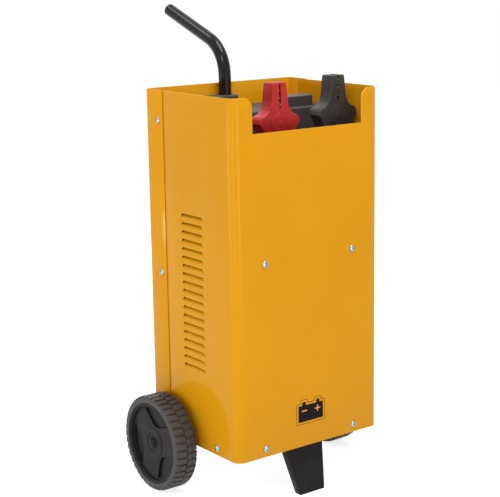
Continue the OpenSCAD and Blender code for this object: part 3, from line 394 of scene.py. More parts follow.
front_bend = (-0.15, -0.19, 0.4)
soft_lamp("left_box", (-1.56, 0.32, 0.33), front_bend, (0.6, 0.6), 5.1)
soft_lamp("corner_strip", (-1.51, -1.04, 0.33), front_bend, (0.12, 0.6), 3.0)
soft_lamp("front_box", (-0.09, -1.79, 0.33), front_bend, (0.7, 0.6), 6.3)
soft_lamp("high_lamp", (-1.5, -1.5, 2.2), (0, 0, 0.6), (0.5, 0.5), 14)
soft_lamp("back_lamp", (0.5, 2.3, 1.2), (0, 0.1, 0.4), (1.0, 1.0), 13)
soft_lamp("low_side_lamp", (-2.7, 1.95, 0.13), (-0.15, 0, 0.2), (0.2, 0.2), 4.6)
soft_lamp("top_lamp", (0.2, -0.65, 2.75), (0, 0, 0.5), (1.2, 1.2), 40)
soft_lamp("grip_lamp", (-0.72, 1.0, 2.5), (0, 0.1, 0.8), (0.7, 0.7), 8)

# %% [markdown]
# ## Modelling helpers
#
# The same few hand movements make most pieces: put down a ring of points, fill or sweep it, pick
# some edges and round them, then close the work by checking that faces point outwards.

# %% Select, start and close a piece
def only(piece):
    """Selects one piece and nothing else."""
    bpy.ops.object.select_all(action="DESELECT")
    piece.select_set(True)
    bpy.context.view_layer.objects.active = piece


def ring(name, points, filled=False):
    """A closed ring of points: a circle primitive with its corners moved into place."""
    bpy.ops.object.select_all(action="DESELECT")
    bpy.ops.mesh.primitive_circle_add(vertices=len(points), radius=0.01,
                                      fill_type="NGON" if filled else "NOTHING")
    piece = bpy.context.object
    piece.name = name
    for corner, place in zip(piece.data.vertices, points):
        corner.co = place
    return piece


def edit(piece, everything=True):
    """Opens a piece for editing, with all of it selected or none."""
    only(piece)
    bpy.ops.object.mode_set(mode="EDIT")
    bpy.ops.mesh.select_mode(type="VERT")
    bpy.ops.mesh.select_all(action="SELECT" if everything else "DESELECT")


def close(piece, smooth=30.0):
    """Leaves edit mode with doubles merged, faces outwards and soft shading."""
    if bpy.context.mode != "EDIT_MESH":
        edit(piece)
    bpy.ops.mesh.select_all(action="SELECT")
    bpy.ops.mesh.remove_doubles(threshold=0.000002)
    bpy.ops.mesh.normals_make_consistent(inside=False)
    bpy.ops.object.mode_set(mode="OBJECT")
    only(piece)
    bpy.ops.object.shade_smooth_by_angle(angle=math.radians(smooth))
    return piece


# %% [markdown]
# A sheet part is folded from a flat grid. Its faces and edges are picked by their place, so no
# step depends on how Blender counts them. Extruding and rounding finish most shapes.

# %% Pick, extrude and round
def pick_edges(piece, test):
    """In edit mode, selects the edges whose two ends and middle pass a test."""
    bpy.ops.mesh.select_mode(type="EDGE")
    bpy.ops.mesh.select_all(action="DESELECT")
    work = bmesh.from_edit_mesh(piece.data)
    for e in work.edges:
        if test(e):
            e.select = True
    work.select_flush(True)
    bmesh.update_edit_mesh(piece.data)
    return sum(e.select for e in work.edges)


def pick_faces(piece, test):
    """In edit mode, selects the faces that pass a test."""
    bpy.ops.mesh.select_mode(type="FACE")
    work = bmesh.from_edit_mesh(piece.data)
    for f in work.faces:
        f.select = test(f)
    bmesh.update_edit_mesh(piece.data)


def draw_out(step):
    """In edit mode, extrudes what is selected by a step in metres."""
    bpy.ops.mesh.extrude_region_move(TRANSFORM_OT_translate={"value": step})


def rounded(piece, width, steps=2, angle=32.0):
    """Rounds every edge sharper than an angle, with an applied Bevel modifier."""
    only(piece)
    soft = piece.modifiers.new("soft_edges", "BEVEL")
    soft.width = width * MM
    soft.segments = steps
    soft.limit_method = "ANGLE"
    soft.angle_limit = math.radians(angle)
    soft.use_clamp_overlap = True
    bpy.ops.object.modifier_apply(modifier=soft.name)
    bpy.ops.object.shade_smooth_by_angle(angle=math.radians(28))
    return piece


# %% [markdown]
# Holes are cut with a second piece and a Boolean modifier, and most cutters are round bars. At
# the end each piece gets its finish, the body it rides on and the CAD nodes it stands for.

# %% Cut and finish a piece
def carve(piece, tool):
    """Cuts one piece with another, which is then thrown away."""
    only(piece)
    cut = piece.modifiers.new("cut", "BOOLEAN")
    cut.object = tool
    cut.operation = "DIFFERENCE"
    cut.solver = "EXACT"
    bpy.ops.object.modifier_apply(modifier=cut.name)
    bpy.data.objects.remove(tool)


def rod(name, radius, start, end, corners=48):
    """A round bar between two places of the casing, radius in millimetres."""
    bpy.ops.object.select_all(action="DESELECT")
    first, last = at(*start), at(*end)
    bpy.ops.mesh.primitive_cylinder_add(vertices=corners, radius=radius * MM,
                                        depth=(last - first).length, location=(first + last) / 2,
                                        rotation=(last - first).to_track_quat("Z", "Y").to_euler())
    bpy.context.object.name = name
    bpy.ops.object.transform_apply(location=True, rotation=True, scale=True)
    return bpy.context.object


def finish_piece(piece, finish, slot, body, *cad_nodes):
    """Gives a piece a finish if it has none, and its body, and lets it stand for CAD nodes."""
    if len(piece.data.materials) == 0:
        piece.data.materials.append(finish)
    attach(piece, body)
    if cad_nodes:
        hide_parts(*cad_nodes)
    print(piece.name, len(piece.data.polygons), "faces")


# %% [markdown]
# ## Front cover
#
# On the real machine this is one sheet, 1.2 mm thick: the front panel and both side walls, with
# a round bend at each front edge. The louvres are cut on three sides and pushed in, so each one
# is a sloping flap, a little narrower at its free edge. A flat grid is the simplest start: its
# columns and rows are moved to where the sheet has bends, slots and the cut-out, so the holes
# fall between grid lines. Solidify then gives the sheet its thickness.

# %% Columns and rows of the sheet
def arc(cx, cy, r, first, last, steps):
    """Points on an arc, angles in degrees."""
    return [(cx + r * math.cos(math.radians(first + (last - first) * i / steps)),
             cy + r * math.sin(math.radians(first + (last - first) * i / steps)))
            for i in range(steps + 1)]


axle_y, axle_z, notch_r = 59.5, -2.0, 8.5
bend_r, sheet_t, louvre_y, louvre_l = 16.0, 1.2, -3.2, 66.0
louvre_z = [134 + 14.35 * i for i in range(19)]
louvre_h, louvre_in, louvre_up, cheek = 7.0, 4.4, 5.2, 4.4
sheet_h, cut_z, corner_low, cut_low_w, cut_high_w, cut_r = 600.0, 541.5, 589.0, 114.5, 125.5, 3.2
right_side = ([(half_w, 94.0), (half_w, louvre_y + louvre_l / 2), (half_w, louvre_y - louvre_l / 2)]
              + arc(half_w - bend_r, -half_d + bend_r, bend_r, 0, -90, 14))
plan = (right_side + [(cut_low_w, -half_d), (-cut_low_w, -half_d)]
        + [(-x, y) for x, y in right_side[::-1]])
levels = [0.0]
for z in louvre_z:
    levels += [z, z + louvre_h]
levels += [cut_z, corner_low, sheet_h]
bpy.ops.object.select_all(action="DESELECT")
bpy.ops.mesh.primitive_grid_add(x_subdivisions=len(plan) - 1, y_subdivisions=len(levels) - 1,
                                size=1)
front_cover = bpy.context.object
front_cover.name = "front_cover_sheet"
columns = len(plan)
for i, corner in enumerate(front_cover.data.vertices):
    x, y = plan[i % columns]
    z = levels[i // columns]
    if z == sheet_h and abs(x) == cut_low_w:
        x = math.copysign(cut_high_w, x)
    if z - louvre_h in louvre_z and abs(x) == half_w and abs(abs(y - louvre_y) - louvre_l / 2) < 0.01:
        y -= math.copysign(cheek, y - louvre_y)
    corner.co = at(x, y, z)
print("sheet", columns, "columns", len(levels), "rows")

# %% [markdown]
# The slot faces and the cut-out are picked by their place and deleted. Then the lower edge of
# every slot is extruded up and inwards at one stroke, which makes the flaps.

# %% Cut-out and louvres
slot_low = [at(0, 0, z).z for z in louvre_z]


def is_opening(face):
    """Whether a face of the sheet lies in the cut-out or in a louvre's slot."""
    c = face.calc_center_median()
    in_cut = c.y < at(0, -half_d + 1, 0).y and abs(c.x) < 0.1 and c.z > at(0, 0, cut_z).z
    low_edge = min(v.co.z for v in face.verts)
    in_slot = (abs(c.x) > (half_w - 0.1) * MM and abs(c.y - at(0, louvre_y, 0).y) < 0.02
               and any(abs(low_edge - z) < 1e-5 for z in slot_low)
               and max(v.co.z for v in face.verts) - low_edge < 0.008)
    return in_cut or in_slot


edit(front_cover, everything=False)
pick_faces(front_cover, is_opening)
bpy.ops.mesh.delete(type="FACE")
for side in (-1, 1):
    flaps = pick_edges(front_cover, lambda e: (
        all(abs(v.co.x - side * half_w * MM) < 1e-6 for v in e.verts)
        and abs(abs(e.verts[0].co.y - e.verts[1].co.y) - louvre_l * MM) < 1e-6
        and any(abs(e.verts[0].co.z - z) < 1e-5 and abs(e.verts[1].co.z - z) < 1e-5
                for z in slot_low)))
    draw_out(Vector((-side * louvre_in, 0, louvre_up)) * MM)
    bpy.ops.transform.resize(value=(1, (louvre_l - 2 * cheek) / louvre_l, 1),
                             center_override=at(side * half_w, louvre_y, 0))
    print("flaps", flaps)
bpy.ops.mesh.select_all(action="SELECT")
bpy.ops.mesh.normals_make_consistent(inside=False)
bpy.ops.object.mode_set(mode="OBJECT")
print("louvred sheet", len(front_cover.data.polygons), "faces")

# %% [markdown]
# The cut-out has its corners taken off and eased, so that no hand is hurt on them. The sheet is
# still flat and thin here, so bevelling four single points is enough.

# %% Round corners of the cut-out
edit(front_cover, everything=False)
work = bmesh.from_edit_mesh(front_cover.data)
soft_corners = [at(s * x, -half_d, z) for s in (-1, 1)
                for x, z in ((cut_low_w, corner_low), (cut_high_w, sheet_h))]
for v in work.verts:
    v.select = any((v.co - corner).length < 1e-5 for corner in soft_corners)
bmesh.update_edit_mesh(front_cover.data)
bpy.ops.mesh.bevel(offset=cut_r * MM, segments=3, affect="VERTICES")
bpy.ops.object.mode_set(mode="OBJECT")
print("sheet with round corners", len(front_cover.data.vertices), "points")

# %% [markdown]
# Solidify grows the sheet inwards, so its outside keeps the drawn size. It gives the new rim
# faces the second material, the pale painted highlight of the cut edges. The axle's notch is cut
# last, through both walls.

# %% Thickness of the front cover
def look_along(piece, place, way):
    """Turns a sheet's faces over if the one nearest a place looks against a direction."""
    nearest = min(piece.data.polygons, key=lambda f: (f.center - place).length)
    if nearest.normal.dot(Vector(way)) < 0:
        edit(piece)
        bpy.ops.mesh.flip_normals()
        bpy.ops.object.mode_set(mode="OBJECT")


def walled(piece, thickness, rim_finish=0):
    """Gives a sheet its thickness in millimetres, inwards from its faces."""
    only(piece)
    wall = piece.modifiers.new("wall", "SOLIDIFY")
    wall.thickness = thickness * MM
    wall.offset = -1
    wall.use_even_offset = True
    wall.material_offset_rim = rim_finish
    bpy.ops.object.modifier_apply(modifier=wall.name)


look_along(front_cover, at(0, -half_d, 300), (0, -1, 0))
front_cover.data.materials.append(yellow_paint)
# Painted highlight: the rim faces made by Solidify take the pale edge finish.
front_cover.data.materials.append(painted_edge_highlight)
walled(front_cover, sheet_t, rim_finish=1)
carve(front_cover, rod("axle_notch", notch_r, (-170, axle_y, axle_z), (170, axle_y, axle_z)))
rounded(front_cover, 0.35, 2, 35)
finish_piece(front_cover, yellow_paint, "yellow_paint", "chassis", "front_cover")

# %% [markdown]
# ## Handle
#
# The handle is one 22 mm tube: a long upright, one bend and a straight grip with a plug in its
# end. It is swept as the tube bender does it: a ring is extruded up, spun round the centre of the
# bend, and extruded along the grip. The plug's rounded end is the same ring, scaled in steps.

# %% Handle tube
tube_r, tube_y, crank_r, crank_turn, crank_z, grip_l = 11.0, 108.8, 68.0, 69.0, 659.4, 133.6
crank_leg = crank_r * math.tan(math.radians(crank_turn / 2))
rise = math.radians(90 - crank_turn)
bend_start = crank_z - crank_leg
tube_low = 340.0
handle = ring("handle_bar", [at(x, y, tube_low) for x, y in arc(0, tube_y, tube_r, 0, 352.5, 47)])
edit(handle)
draw_out(Vector((0, 0, bend_start - tube_low)) * MM)
bpy.ops.mesh.spin(steps=22, angle=math.radians(crank_turn), axis=(1, 0, 0),
                  center=at(0, tube_y + crank_r, bend_start))
along = Vector((0, math.cos(rise), math.sin(rise)))
draw_out(along * grip_l * MM)
grip_end = at(0, tube_y, crank_z) + along * (crank_leg + grip_l) * MM
plug_steps = ((0.25, 0.96), (0.0, 1.0), (0.25, 1.0), (0.8, 0.985), (0.9, 0.93), (0.7, 0.84),
              (0.35, 0.70), (0.05, 0.40))
for forward, shrink in plug_steps:
    draw_out(along * forward * MM)
    rim_corners = [v for v in bmesh.from_edit_mesh(handle.data).verts if v.select]
    middle = sum((v.co for v in rim_corners), Vector()) / len(rim_corners)
    grow = tube_r * MM * shrink / (rim_corners[0].co - middle).length
    bpy.ops.transform.resize(value=(grow, grow, grow), center_override=middle)
bpy.ops.mesh.edge_face_add()
close(handle, 35)
print("handle end", tuple(round(c, 4) for c in grip_end))
finish_piece(handle, black_enamel, "black_paint", "chassis", "handle_tube", "handle_plug")

# %% [markdown]
# ## Back cover
#
# The second sheet closes the back. It is bent with a much tighter radius than the front, and its
# flanges lap over the side walls, so a shadow line runs down each side. One row of a grid is
# enough, because nothing is cut in the flanges.

# %% Back cover
back_w, seam_y, back_bend, back_h, undercut = 155.25, 73.0, 2.4, 601.0, 1.6
back_plan = [(back_w, seam_y)] + arc(back_w - back_bend, half_d - back_bend, back_bend, 0, 90, 5)
back_plan += [(-x, y) for x, y in back_plan[::-1]]
bpy.ops.object.select_all(action="DESELECT")
bpy.ops.mesh.primitive_grid_add(x_subdivisions=len(back_plan) - 1, y_subdivisions=1, size=1)
rear_cover = bpy.context.object
rear_cover.name = "rear_cover_sheet"
for i, corner in enumerate(rear_cover.data.vertices):
    corner.co = at(*back_plan[i % len(back_plan)], back_h if i >= len(back_plan) else 0.0)
edit(rear_cover)
bpy.ops.mesh.normals_make_consistent(inside=False)
bpy.ops.object.mode_set(mode="OBJECT")
look_along(rear_cover, at(0, half_d, 300), (0, 1, 0))
walled(rear_cover, sheet_t)
for v in rear_cover.data.vertices:
    if abs(v.co.y - at(0, seam_y, 0).y) < 1e-5 and abs(v.co.x) < (back_w - sheet_t / 2) * MM:
        v.co.y += undercut * MM
carve(rear_cover, rod("axle_notch", notch_r, (-170, axle_y, axle_z), (170, axle_y, axle_z)))
meter_x, knob_x, meter_z, low_z = -60.0, 60.0, 460.0, 402.0
for name, radius, x, z in (("meter_hole", 27, meter_x, meter_z), ("knob_hole", 6, knob_x, meter_z),
                           ("fuse_hole", 8.1, knob_x, low_z), ("gland_hole", 10.05, -108, 62)):
    carve(rear_cover, rod(name, radius, (x, 118, z), (x, 125, z)))
rounded(rear_cover, 0.35, 2, 35)
finish_piece(rear_cover, yellow_paint, "yellow_rear", "chassis", "rear_cover")

# %% [markdown]
# ## Foot
#
# The foot is pressed from 2.5 mm plate: a leaning front face that narrows towards the floor, two
# folded flanges, a closed sole and a tongue that is bolted under the casing. It starts as one
# flat plate. Its four edges are folded back together, and the upper fold is drawn out further.

# %% Foot
toe_w, toe_y, toe_z = 26.5, -126.3, -85
heel_w, heel_y, heel_z = 43, -100, 6
foot = ring("foot_channel", [at(-toe_w, toe_y, toe_z), at(toe_w, toe_y, toe_z),
                             at(heel_w, heel_y, heel_z), at(-heel_w, heel_y, heel_z)], filled=True)
edit(foot, everything=False)
pick_edges(foot, lambda e: True)
bpy.ops.mesh.extrude_edges_move(TRANSFORM_OT_translate={"value": Vector((0, 15, 0)) * MM})
pick_edges(foot, lambda e: all(v.co.z > at(0, 0, heel_z - 0.1).z and v.co.y > at(0, -86, 0).y
                               for v in e.verts))
bpy.ops.mesh.extrude_edges_move(TRANSFORM_OT_translate={"value": Vector((0, 23, 0)) * MM})
close(foot)
look_along(foot, at(0, -113, -40), (0, -1, 0))
walled(foot, 2.5)
rounded(foot, 1.1, 3, 35)
finish_piece(foot, foot_enamel, "black_paint", "chassis", "foot")

# %% [markdown]
# ## Wheels
#
# Each wheel is a moulded centre with a solid tyre. Round parts are outlines spun about the axle.
# The tyre's lugs are one small block each, spun with copies, in two rows that stand half a lug
# apart. The wheel is made once, on the left, and turned round to make the right one.

# %% Round parts
def softened(points, radius, steps=3):
    """A closed outline with each corner rounded by up to a radius."""
    soft = []
    for i, here in enumerate(points):
        here = Vector(here)
        before, after = Vector(points[i - 1]), Vector(points[(i + 1) % len(points)])
        a = here + (before - here).normalized() * min(radius, (before - here).length * 0.45)
        b = here + (after - here).normalized() * min(radius, (after - here).length * 0.45)
        for k in range(steps + 1):
            t = k / steps
            soft.append(tuple(a * (1 - t) ** 2 + here * 2 * t * (1 - t) + b * t ** 2))
    return soft


def turned(name, outline, centre, axis, steps=64):
    """A closed outline spun once round an axis."""
    piece = ring(name, outline)
    edit(piece)
    bpy.ops.mesh.spin(steps=steps, angle=2 * math.pi, center=centre, axis=axis)
    return close(piece)


def join(name, pieces):
    """Makes several shells one piece."""
    bpy.ops.object.select_all(action="DESELECT")
    for p in pieces:
        p.select_set(True)
    bpy.context.view_layer.objects.active = pieces[0]
    bpy.ops.object.join()
    pieces[0].name = name
    return pieces[0]


# %% Places on the left wheel
hub, wheel_in = at(0, axle_y, axle_z), 165.5


def on_wheel(r, turn, w):
    """A place on the left wheel: radius, angle from the top, and distance out from its inside."""
    a = math.radians(turn)
    return at(-(wheel_in + w), axle_y + r * math.sin(a), axle_z + r * math.cos(a))


def wheel_ring(name, outline, corner_r=0.6, steps=96):
    """A part of the wheel, spun from an outline of radius and width."""
    return turned(name, [on_wheel(r, 0, w) for r, w in softened(outline, corner_r)], hub,
                  (1, 0, 0), steps)


# %% Tyre
carcass = wheel_ring("tyre_carcass", [(70.05, 0.6), (73, 0), (76.8, 0), (80.6, 3), (80.6, 39.2),
                                      (80.2, 40.9), (78.0, 42.1), (75, 42.5), (71.4, 42.5),
                                      (70.05, 41.6)], 1.0)
tyre_parts = [carcass]
lugs, lug_half, lug_top, lug_in, lug_run = 40, 3.3, 83, 21.2, 20
for row, turn in ((0, 0.0), (1, 180 / lugs)):
    lug_outline = [(21.7, 79.6), (21.8, 82.3), (22.5, 82.9), (38.4, 82.8), (41.0, 81.5),
                   (42.4, 79.4), (41.8, 77.6)]
    skew = 2.2 if row == 0 else -2.2
    if row == 1:
        lug_outline = [(42.5 - w, r) for w, r in lug_outline]
    slant = math.degrees(skew / lug_top)
    lug = ring("lug", [on_wheel(r, turn - lug_half + slant * (w - lug_in) / lug_run, w)
                       for w, r in lug_outline], filled=True)
    edit(lug)
    draw_out(on_wheel(lug_top, turn + lug_half, 0) - on_wheel(lug_top, turn - lug_half, 0))
    close(lug)
    rounded(lug, 0.45, 1, 35)
    edit(lug)
    bpy.ops.mesh.spin(steps=lugs - 1, angle=2 * math.pi * (lugs - 1) / lugs, dupli=True,
                      center=hub, axis=(1, 0, 0))
    bpy.ops.object.mode_set(mode="OBJECT")
    tyre_parts.append(lug)
left_tyre = join("left_tyre_lugged", tyre_parts)
finish_piece(left_tyre, tyre_rubber, "tyre", "left_wheel", "left_tyre")

# %% [markdown]
# The wheel centre has three broad spokes. They are what is left of a disc when three hollows are
# cut into it. Each hollow is a corner of two straight sides, rounded where the sides meet. The
# upper edges of the hollows are then rounded off, as the mould leaves them.

# %% Wheel centre
web_in, web_out, pocket_floor = 23, 36, 32
disc = ring("wheel_disc", [on_wheel(66.5, 360 * i / 96, web_in) for i in range(96)], filled=True)
edit(disc)
draw_out(on_wheel(0, 0, web_out) - on_wheel(0, 0, web_in))
close(disc)
pocket_plan = arc(51.96, 0, 20, 210, 150, 12) + arc(0, 0, 64.9, 37.4, -37.4, 20)
for turn in (-14, 106, 226):
    tool = ring("pocket", [on_wheel(math.hypot(u, v), math.degrees(math.atan2(v, u)) + turn,
                                    pocket_floor) for u, v in pocket_plan], filled=True)
    edit(tool)
    draw_out(on_wheel(0, 0, 45) - on_wheel(0, 0, pocket_floor))
    close(tool)
    carve(disc, tool)
edit(disc, everything=False)
face_x = on_wheel(0, 0, web_out).x
pocket_edges = pick_edges(disc, lambda e: (
    all(abs(v.co.x - face_x) < 1e-6 for v in e.verts)
    and min((v.co - hub).yz.length for v in e.verts) < 0.0652 and len(e.link_faces) == 2
    and e.link_faces[0].normal.dot(e.link_faces[1].normal) < 0.5))
bpy.ops.mesh.bevel(offset=0.9 * MM, segments=3, clamp_overlap=True)
close(disc, 25)
print("pocket edges", pocket_edges)
lip = wheel_ring("wheel_lip", [(61.5, 24.5), (64, 3), (65.5, 1.6), (70, 1), (70, 41.6),
                               (69.6, 42.2), (68.4, 42.2), (67.7, 40.8), (66.7, 40.6),
                               (65.9, 40.2), (64.8, 38.0), (64.6, 35.0), (61.5, 35.0)], 0.5)
boss = wheel_ring("wheel_boss", [(5.06, -5), (10, -5), (13, 23), (26.9, 34), (26.9, 36.5),
                                 (26.1, 37), (17.6, 37), (15.6, 34.6), (12.6, 34.5),
                                 (5.06, 34.5)], 0.5, 64)
left_rim = join("left_wheel_centre", [disc, lip, boss])
finish_piece(left_rim, wheel_plastic, "wheel_plastic", "left_wheel", "left_rim")

# %% [markdown]
# A small domed cap snaps over the end of the axle and hides its clip. Like all round parts of the
# wheel it is an outline spun about the axle.

# %% Hub cap
dome = [(9.6 * math.cos(math.radians(a)), 37.2 + 5.3 * math.sin(math.radians(a)))
        for a in range(0, 90, 10)]
left_cap = wheel_ring("left_hub_dome", [(0.01, 34.9), (12, 34.9), (12, 35.7), (10.6, 36.1)]
                      + dome + [(0.01, 42.5)], 0.4, 48)
finish_piece(left_cap, wheel_plastic, "wheel_plastic", "left_wheel", "left_cap")


# %% [markdown]
# Both wheels come out of one mould. So the right one is a copy of the left, turned half round
# about a level line that runs from front to back through the middle of the axle. A mirrored copy
# would slant the lugs the wrong way.

# %% The right wheel
def twin(piece, name):
    """A copy of a piece with a mesh of its own, opened for editing."""
    only(piece)
    bpy.ops.object.duplicate(linked=False)
    copy = bpy.context.object
    copy.name = name
    edit(copy)
    return copy


for piece, name, slot, node in (
        (left_tyre, "right_tyre_lugged", "tyre", "right_tyre"),
        (left_rim, "right_wheel_centre", "wheel_plastic", "right_rim"),
        (left_cap, "right_hub_dome", "wheel_plastic", "right_cap")):
    copy = twin(piece, name)
    bpy.ops.transform.rotate(value=math.pi, orient_axis="Y", center_override=hub)
    bpy.ops.object.mode_set(mode="OBJECT")
    finish_piece(copy, None, slot, "right_wheel", node)

# %% [markdown]
# ## Clamps
#
# A clamp is two moulded levers on one pin. Their outline is drawn once, jaw up, with the slit at
# zero. The outer edges are generously rounded, because a hand closes round them, and only the
# edges along the slit stay sharp. The still lever carries the two round cheeks that show.

# %% Clamp outline
clamp_y, red_x, red_z, black_x, black_z = -58.5, -19.2, 545.7, 106.4, 550.5
lever_w, slit, edge_r, cheek_r = 27.0, 2.1, 1.7, 18.0
jaw_back = [(13.2, 68), (14.6, 60), (15.6, 52), (16.9, 38), (18.8, 29), (21.8, 22.6), (26.6, 17.4),
            (31, 14.8), (37.0, 13.4), (40.2, 8.8), (42.2, 1.2), (37.2, -5.0), (33, -13),
            (30.9, -22), (30.5, -32), (31.2, -45), (33, -62), (35.6, -85), (34.6, -93),
            (30.5, -95), (24, -95), (22, -70), (18, -46), (13, -26)]


def clamp_place(x, z, y):
    """A place on the red clamp, from its pin."""
    return at(red_x + x, clamp_y + y, red_z + z)


def lever_body(name, side, inner):
    """A lever's slab with rounded outer edges, sharp along the slit and round the pin."""
    outline = [(side * x, z) for x, z in [(slit, 68)] + jaw_back + inner]
    slab = ring(name, [clamp_place(x, z, -lever_w / 2) for x, z in outline], filled=True)
    edit(slab)
    draw_out(Vector((0, lever_w, 0)) * MM)
    close(slab)
    edit(slab, everything=False)
    pin = clamp_place(0, 0, 0)
    pick_edges(slab, lambda e: (
        abs(e.verts[0].co.y - e.verts[1].co.y) < 1e-6
        and not all(abs(v.co.x - pin.x) < (slit + 0.1) * MM for v in e.verts)
        and not all((v.co - pin).xz.length < (cheek_r + 0.7) * MM for v in e.verts)))
    bpy.ops.mesh.bevel(offset=edge_r * MM, segments=4, clamp_overlap=True)
    return close(slab, 28)


def clamp_disc(name, low, high, radius, hole, corner):
    """A round cheek on the pin, between two depths."""
    outline = [(hole, low), (radius, low), (radius, high), (hole, high)]
    return turned(name, [clamp_place(0, r, y) for r, y in softened(outline, corner)],
                  clamp_place(0, 0, 0), (0, 1, 0), 64)


def clamp_block(name, x0, x1, y0, y1, z0, z1):
    """A plain block near the pin, used as a cutter."""
    block = ring(name, [clamp_place(x, z, y0) for x, z in ((x0, z0), (x1, z0), (x1, z1), (x0, z1))],
                 filled=True)
    edit(block)
    draw_out(Vector((0, y1 - y0, 0)) * MM)
    return close(block)


# %% Levers
heel = [(10.9, -14.9)] + arc(0, 0, 18.5, -50, 89, 16) + [(0.2, 25.5), (slit, 26.8)]
moving = lever_body("red_jaw_lever", 1, heel)
carve(moving, clamp_block("hollow", 4, 26.5, -8.5, 8.5, -82, -34))
moving = join("red_jaw_lever", [moving, clamp_disc("cheek", 4.3, 9.0, cheek_r, 4.06, 0.5),
                                clamp_disc("cheek", -9.0, -4.3, cheek_r, 4.06, 0.5)])
finish_piece(moving, clamp_red, "red_plastic", "red_jaw", "red_moving_lever")
still_heel = [(10, -10), (0.2, -5), (0.2, 25.5), (slit, 26.8)]
still = lever_body("red_still_lever", -1, still_heel)
carve(still, clamp_block("hollow", -26.5, -4, -8.5, 8.5, -82, -34))
carve(still, clamp_disc("gap", -9.3, 9.3, 18.5, 0.01, 0.01))
still = join("red_still_lever", [still, clamp_disc("cheek", 9.3, 14.6, cheek_r, 4.05, 0.7),
                                 clamp_disc("cheek", -14.6, -9.3, cheek_r, 4.05, 0.7)])
finish_piece(still, clamp_red, "red_plastic", "red_clamp", "red_lever")

# %% [markdown]
# The pin's heads lie flush in the cheeks, so only a faint circle shows. It is one turned part.

# %% Pin
pin_outline = [(0.01, -15.1), (3.5, -15.05), (6.2, -14.9), (7.0, -14.5), (7.0, -12.9),
               (4.0, -12.9), (4.0, 12.9), (7.0, 12.9), (7.0, 14.5), (6.2, 14.9), (3.5, 15.05),
               (0.01, 15.1)]
red_pin = turned("red_pin_turned", [clamp_place(0, r, y) for r, y in pin_outline],
                 clamp_place(0, 0, 0), (0, 1, 0), 48)
finish_piece(red_pin, clamp_red, "red_plastic", "red_clamp", "red_pin")

# %% [markdown]
# The black clamp comes out of the same mould as the red one, so it is a moved copy in another
# plastic. The copies are moved in edit mode, so that each object stays at the origin.

# %% Black clamp
to_black = Vector((black_x - red_x, 0, black_z - red_z)) * MM
for piece, name, body, node in ((moving, "black_jaw_lever", "black_jaw", "black_moving_lever"),
                                (still, "black_still_lever", "black_clamp", "black_lever"),
                                (red_pin, "black_pin_turned", "black_clamp", "black_pin")):
    copy = twin(piece, name)
    bpy.ops.transform.translate(value=to_black)
    bpy.ops.object.mode_set(mode="OBJECT")
    copy.data.materials[0] = clamp_black
    finish_piece(copy, clamp_black, "black_plastic", body, node)

# %% [markdown]
# ## Tray
#
# The tray is one moulding: a shelf with a rounded front edge, a trough in front of it, a raised
# block and a boss round the handle tube. It is built from its outlines, piece by piece. The shelf
# is swept from side to side. The trough starts as a solid, loses its top and its back, and gets
# its wall from Solidify.

# %% Shelf and trough of the tray
deck_y, deck_z, trough_z, rim_z, mould_w, mould_y = 16.0, 559.0, 445.2, 524.0, 152.4, 120.4
tray_t, deck_r, trough_r = 2.5, 4.0, 14.8


def yz_prism(name, outline, x0, x1):
    """An outline of y and z, swept across."""
    piece = ring(name, [at(x0, y, z) for y, z in outline], filled=True)
    edit(piece)
    draw_out(Vector((x1 - x0, 0, 0)) * MM)
    return close(piece)


def upright(name, outline, z0, z1):
    """An outline of x and y, swept up."""
    piece = ring(name, [at(x, y, z0) for x, y in outline], filled=True)
    edit(piece)
    draw_out(Vector((0, 0, z1 - z0)) * MM)
    return close(piece)


deck_outline = ([(deck_y, trough_z - tray_t)]
                + arc(deck_y + deck_r, deck_z - deck_r, deck_r, 180, 90, 8)
                + [(mould_y, deck_z), (mould_y, deck_z - tray_t)]
                + arc(deck_y + deck_r, deck_z - deck_r, deck_r - tray_t, 90, 180, 6)
                + [(deck_y + tray_t, trough_z - tray_t)])
deck = yz_prism("deck", deck_outline, -mould_w, mould_w)
trough_plan = ([(mould_w, deck_y + tray_t)]
               + arc(mould_w - trough_r, -mould_y + trough_r, trough_r, 0, -90, 8)
               + arc(-mould_w + trough_r, -mould_y + trough_r, trough_r, -90, -180, 8)
               + [(-mould_w, deck_y + tray_t)])
trough = upright("trough", trough_plan, trough_z - tray_t, rim_z)
edit(trough, everything=False)
pick_faces(trough, lambda f: f.normal.z > 0.9 or f.normal.y > 0.9)
bpy.ops.mesh.delete(type="FACE")
bpy.ops.object.mode_set(mode="OBJECT")
walled(trough, tray_t)
rounded(trough, 0.7, 2, 40)
print("shelf and trough", len(deck.data.polygons), len(trough.data.polygons), "faces")

# %% [markdown]
# The raised block and the boss are upright prisms with large round corners, eased along the top.
# The way of the handle tube is cut through shelf and boss alike. Two low rests in the trough
# carry the clamps.

# %% Block, boss and rests of the tray
block_plan = ([(60, 56)] + arc(71, 33, 11, 180, 270, 8) + arc(122, 33, 11, 270, 360, 8)
              + [(133, 56)])
raised = upright("raised_block", block_plan, deck_z - 1, 577.3)
rounded(raised, 1.4, 3, 40)
boss_plan = ([(-60, mould_y)] + arc(-48, 99.4, 12, 180, 270, 8) + arc(7, 99.4, 12, 270, 360, 8)
             + [(19, mould_y)])
tube_boss = upright("tube_boss", boss_plan, deck_z - 1, 580.5)
rounded(tube_boss, 1.4, 3, 40)
for part in (deck, tube_boss):
    carve(part, rod("tube_way", 11.4, (0, tube_y, 540), (0, tube_y, 600)))
rests = []
for x, top in ((red_x, trough_z + 5.5), (black_x, trough_z + 10.3)):
    plan = softened([(x - 40, clamp_y - 18.5), (x - 21, clamp_y - 18.5), (x - 21, clamp_y + 18.5),
                     (x - 40, clamp_y + 18.5)], 5)
    rest = upright("clamp_rest", plan, trough_z - 0.5, top)
    rests.append(rounded(rest, 1.0, 2, 40))
tray = join("tray_moulding", [deck, trough, raised, tube_boss] + rests)
finish_piece(tray, tray_plastic, "tray_plastic", "chassis", "tray")

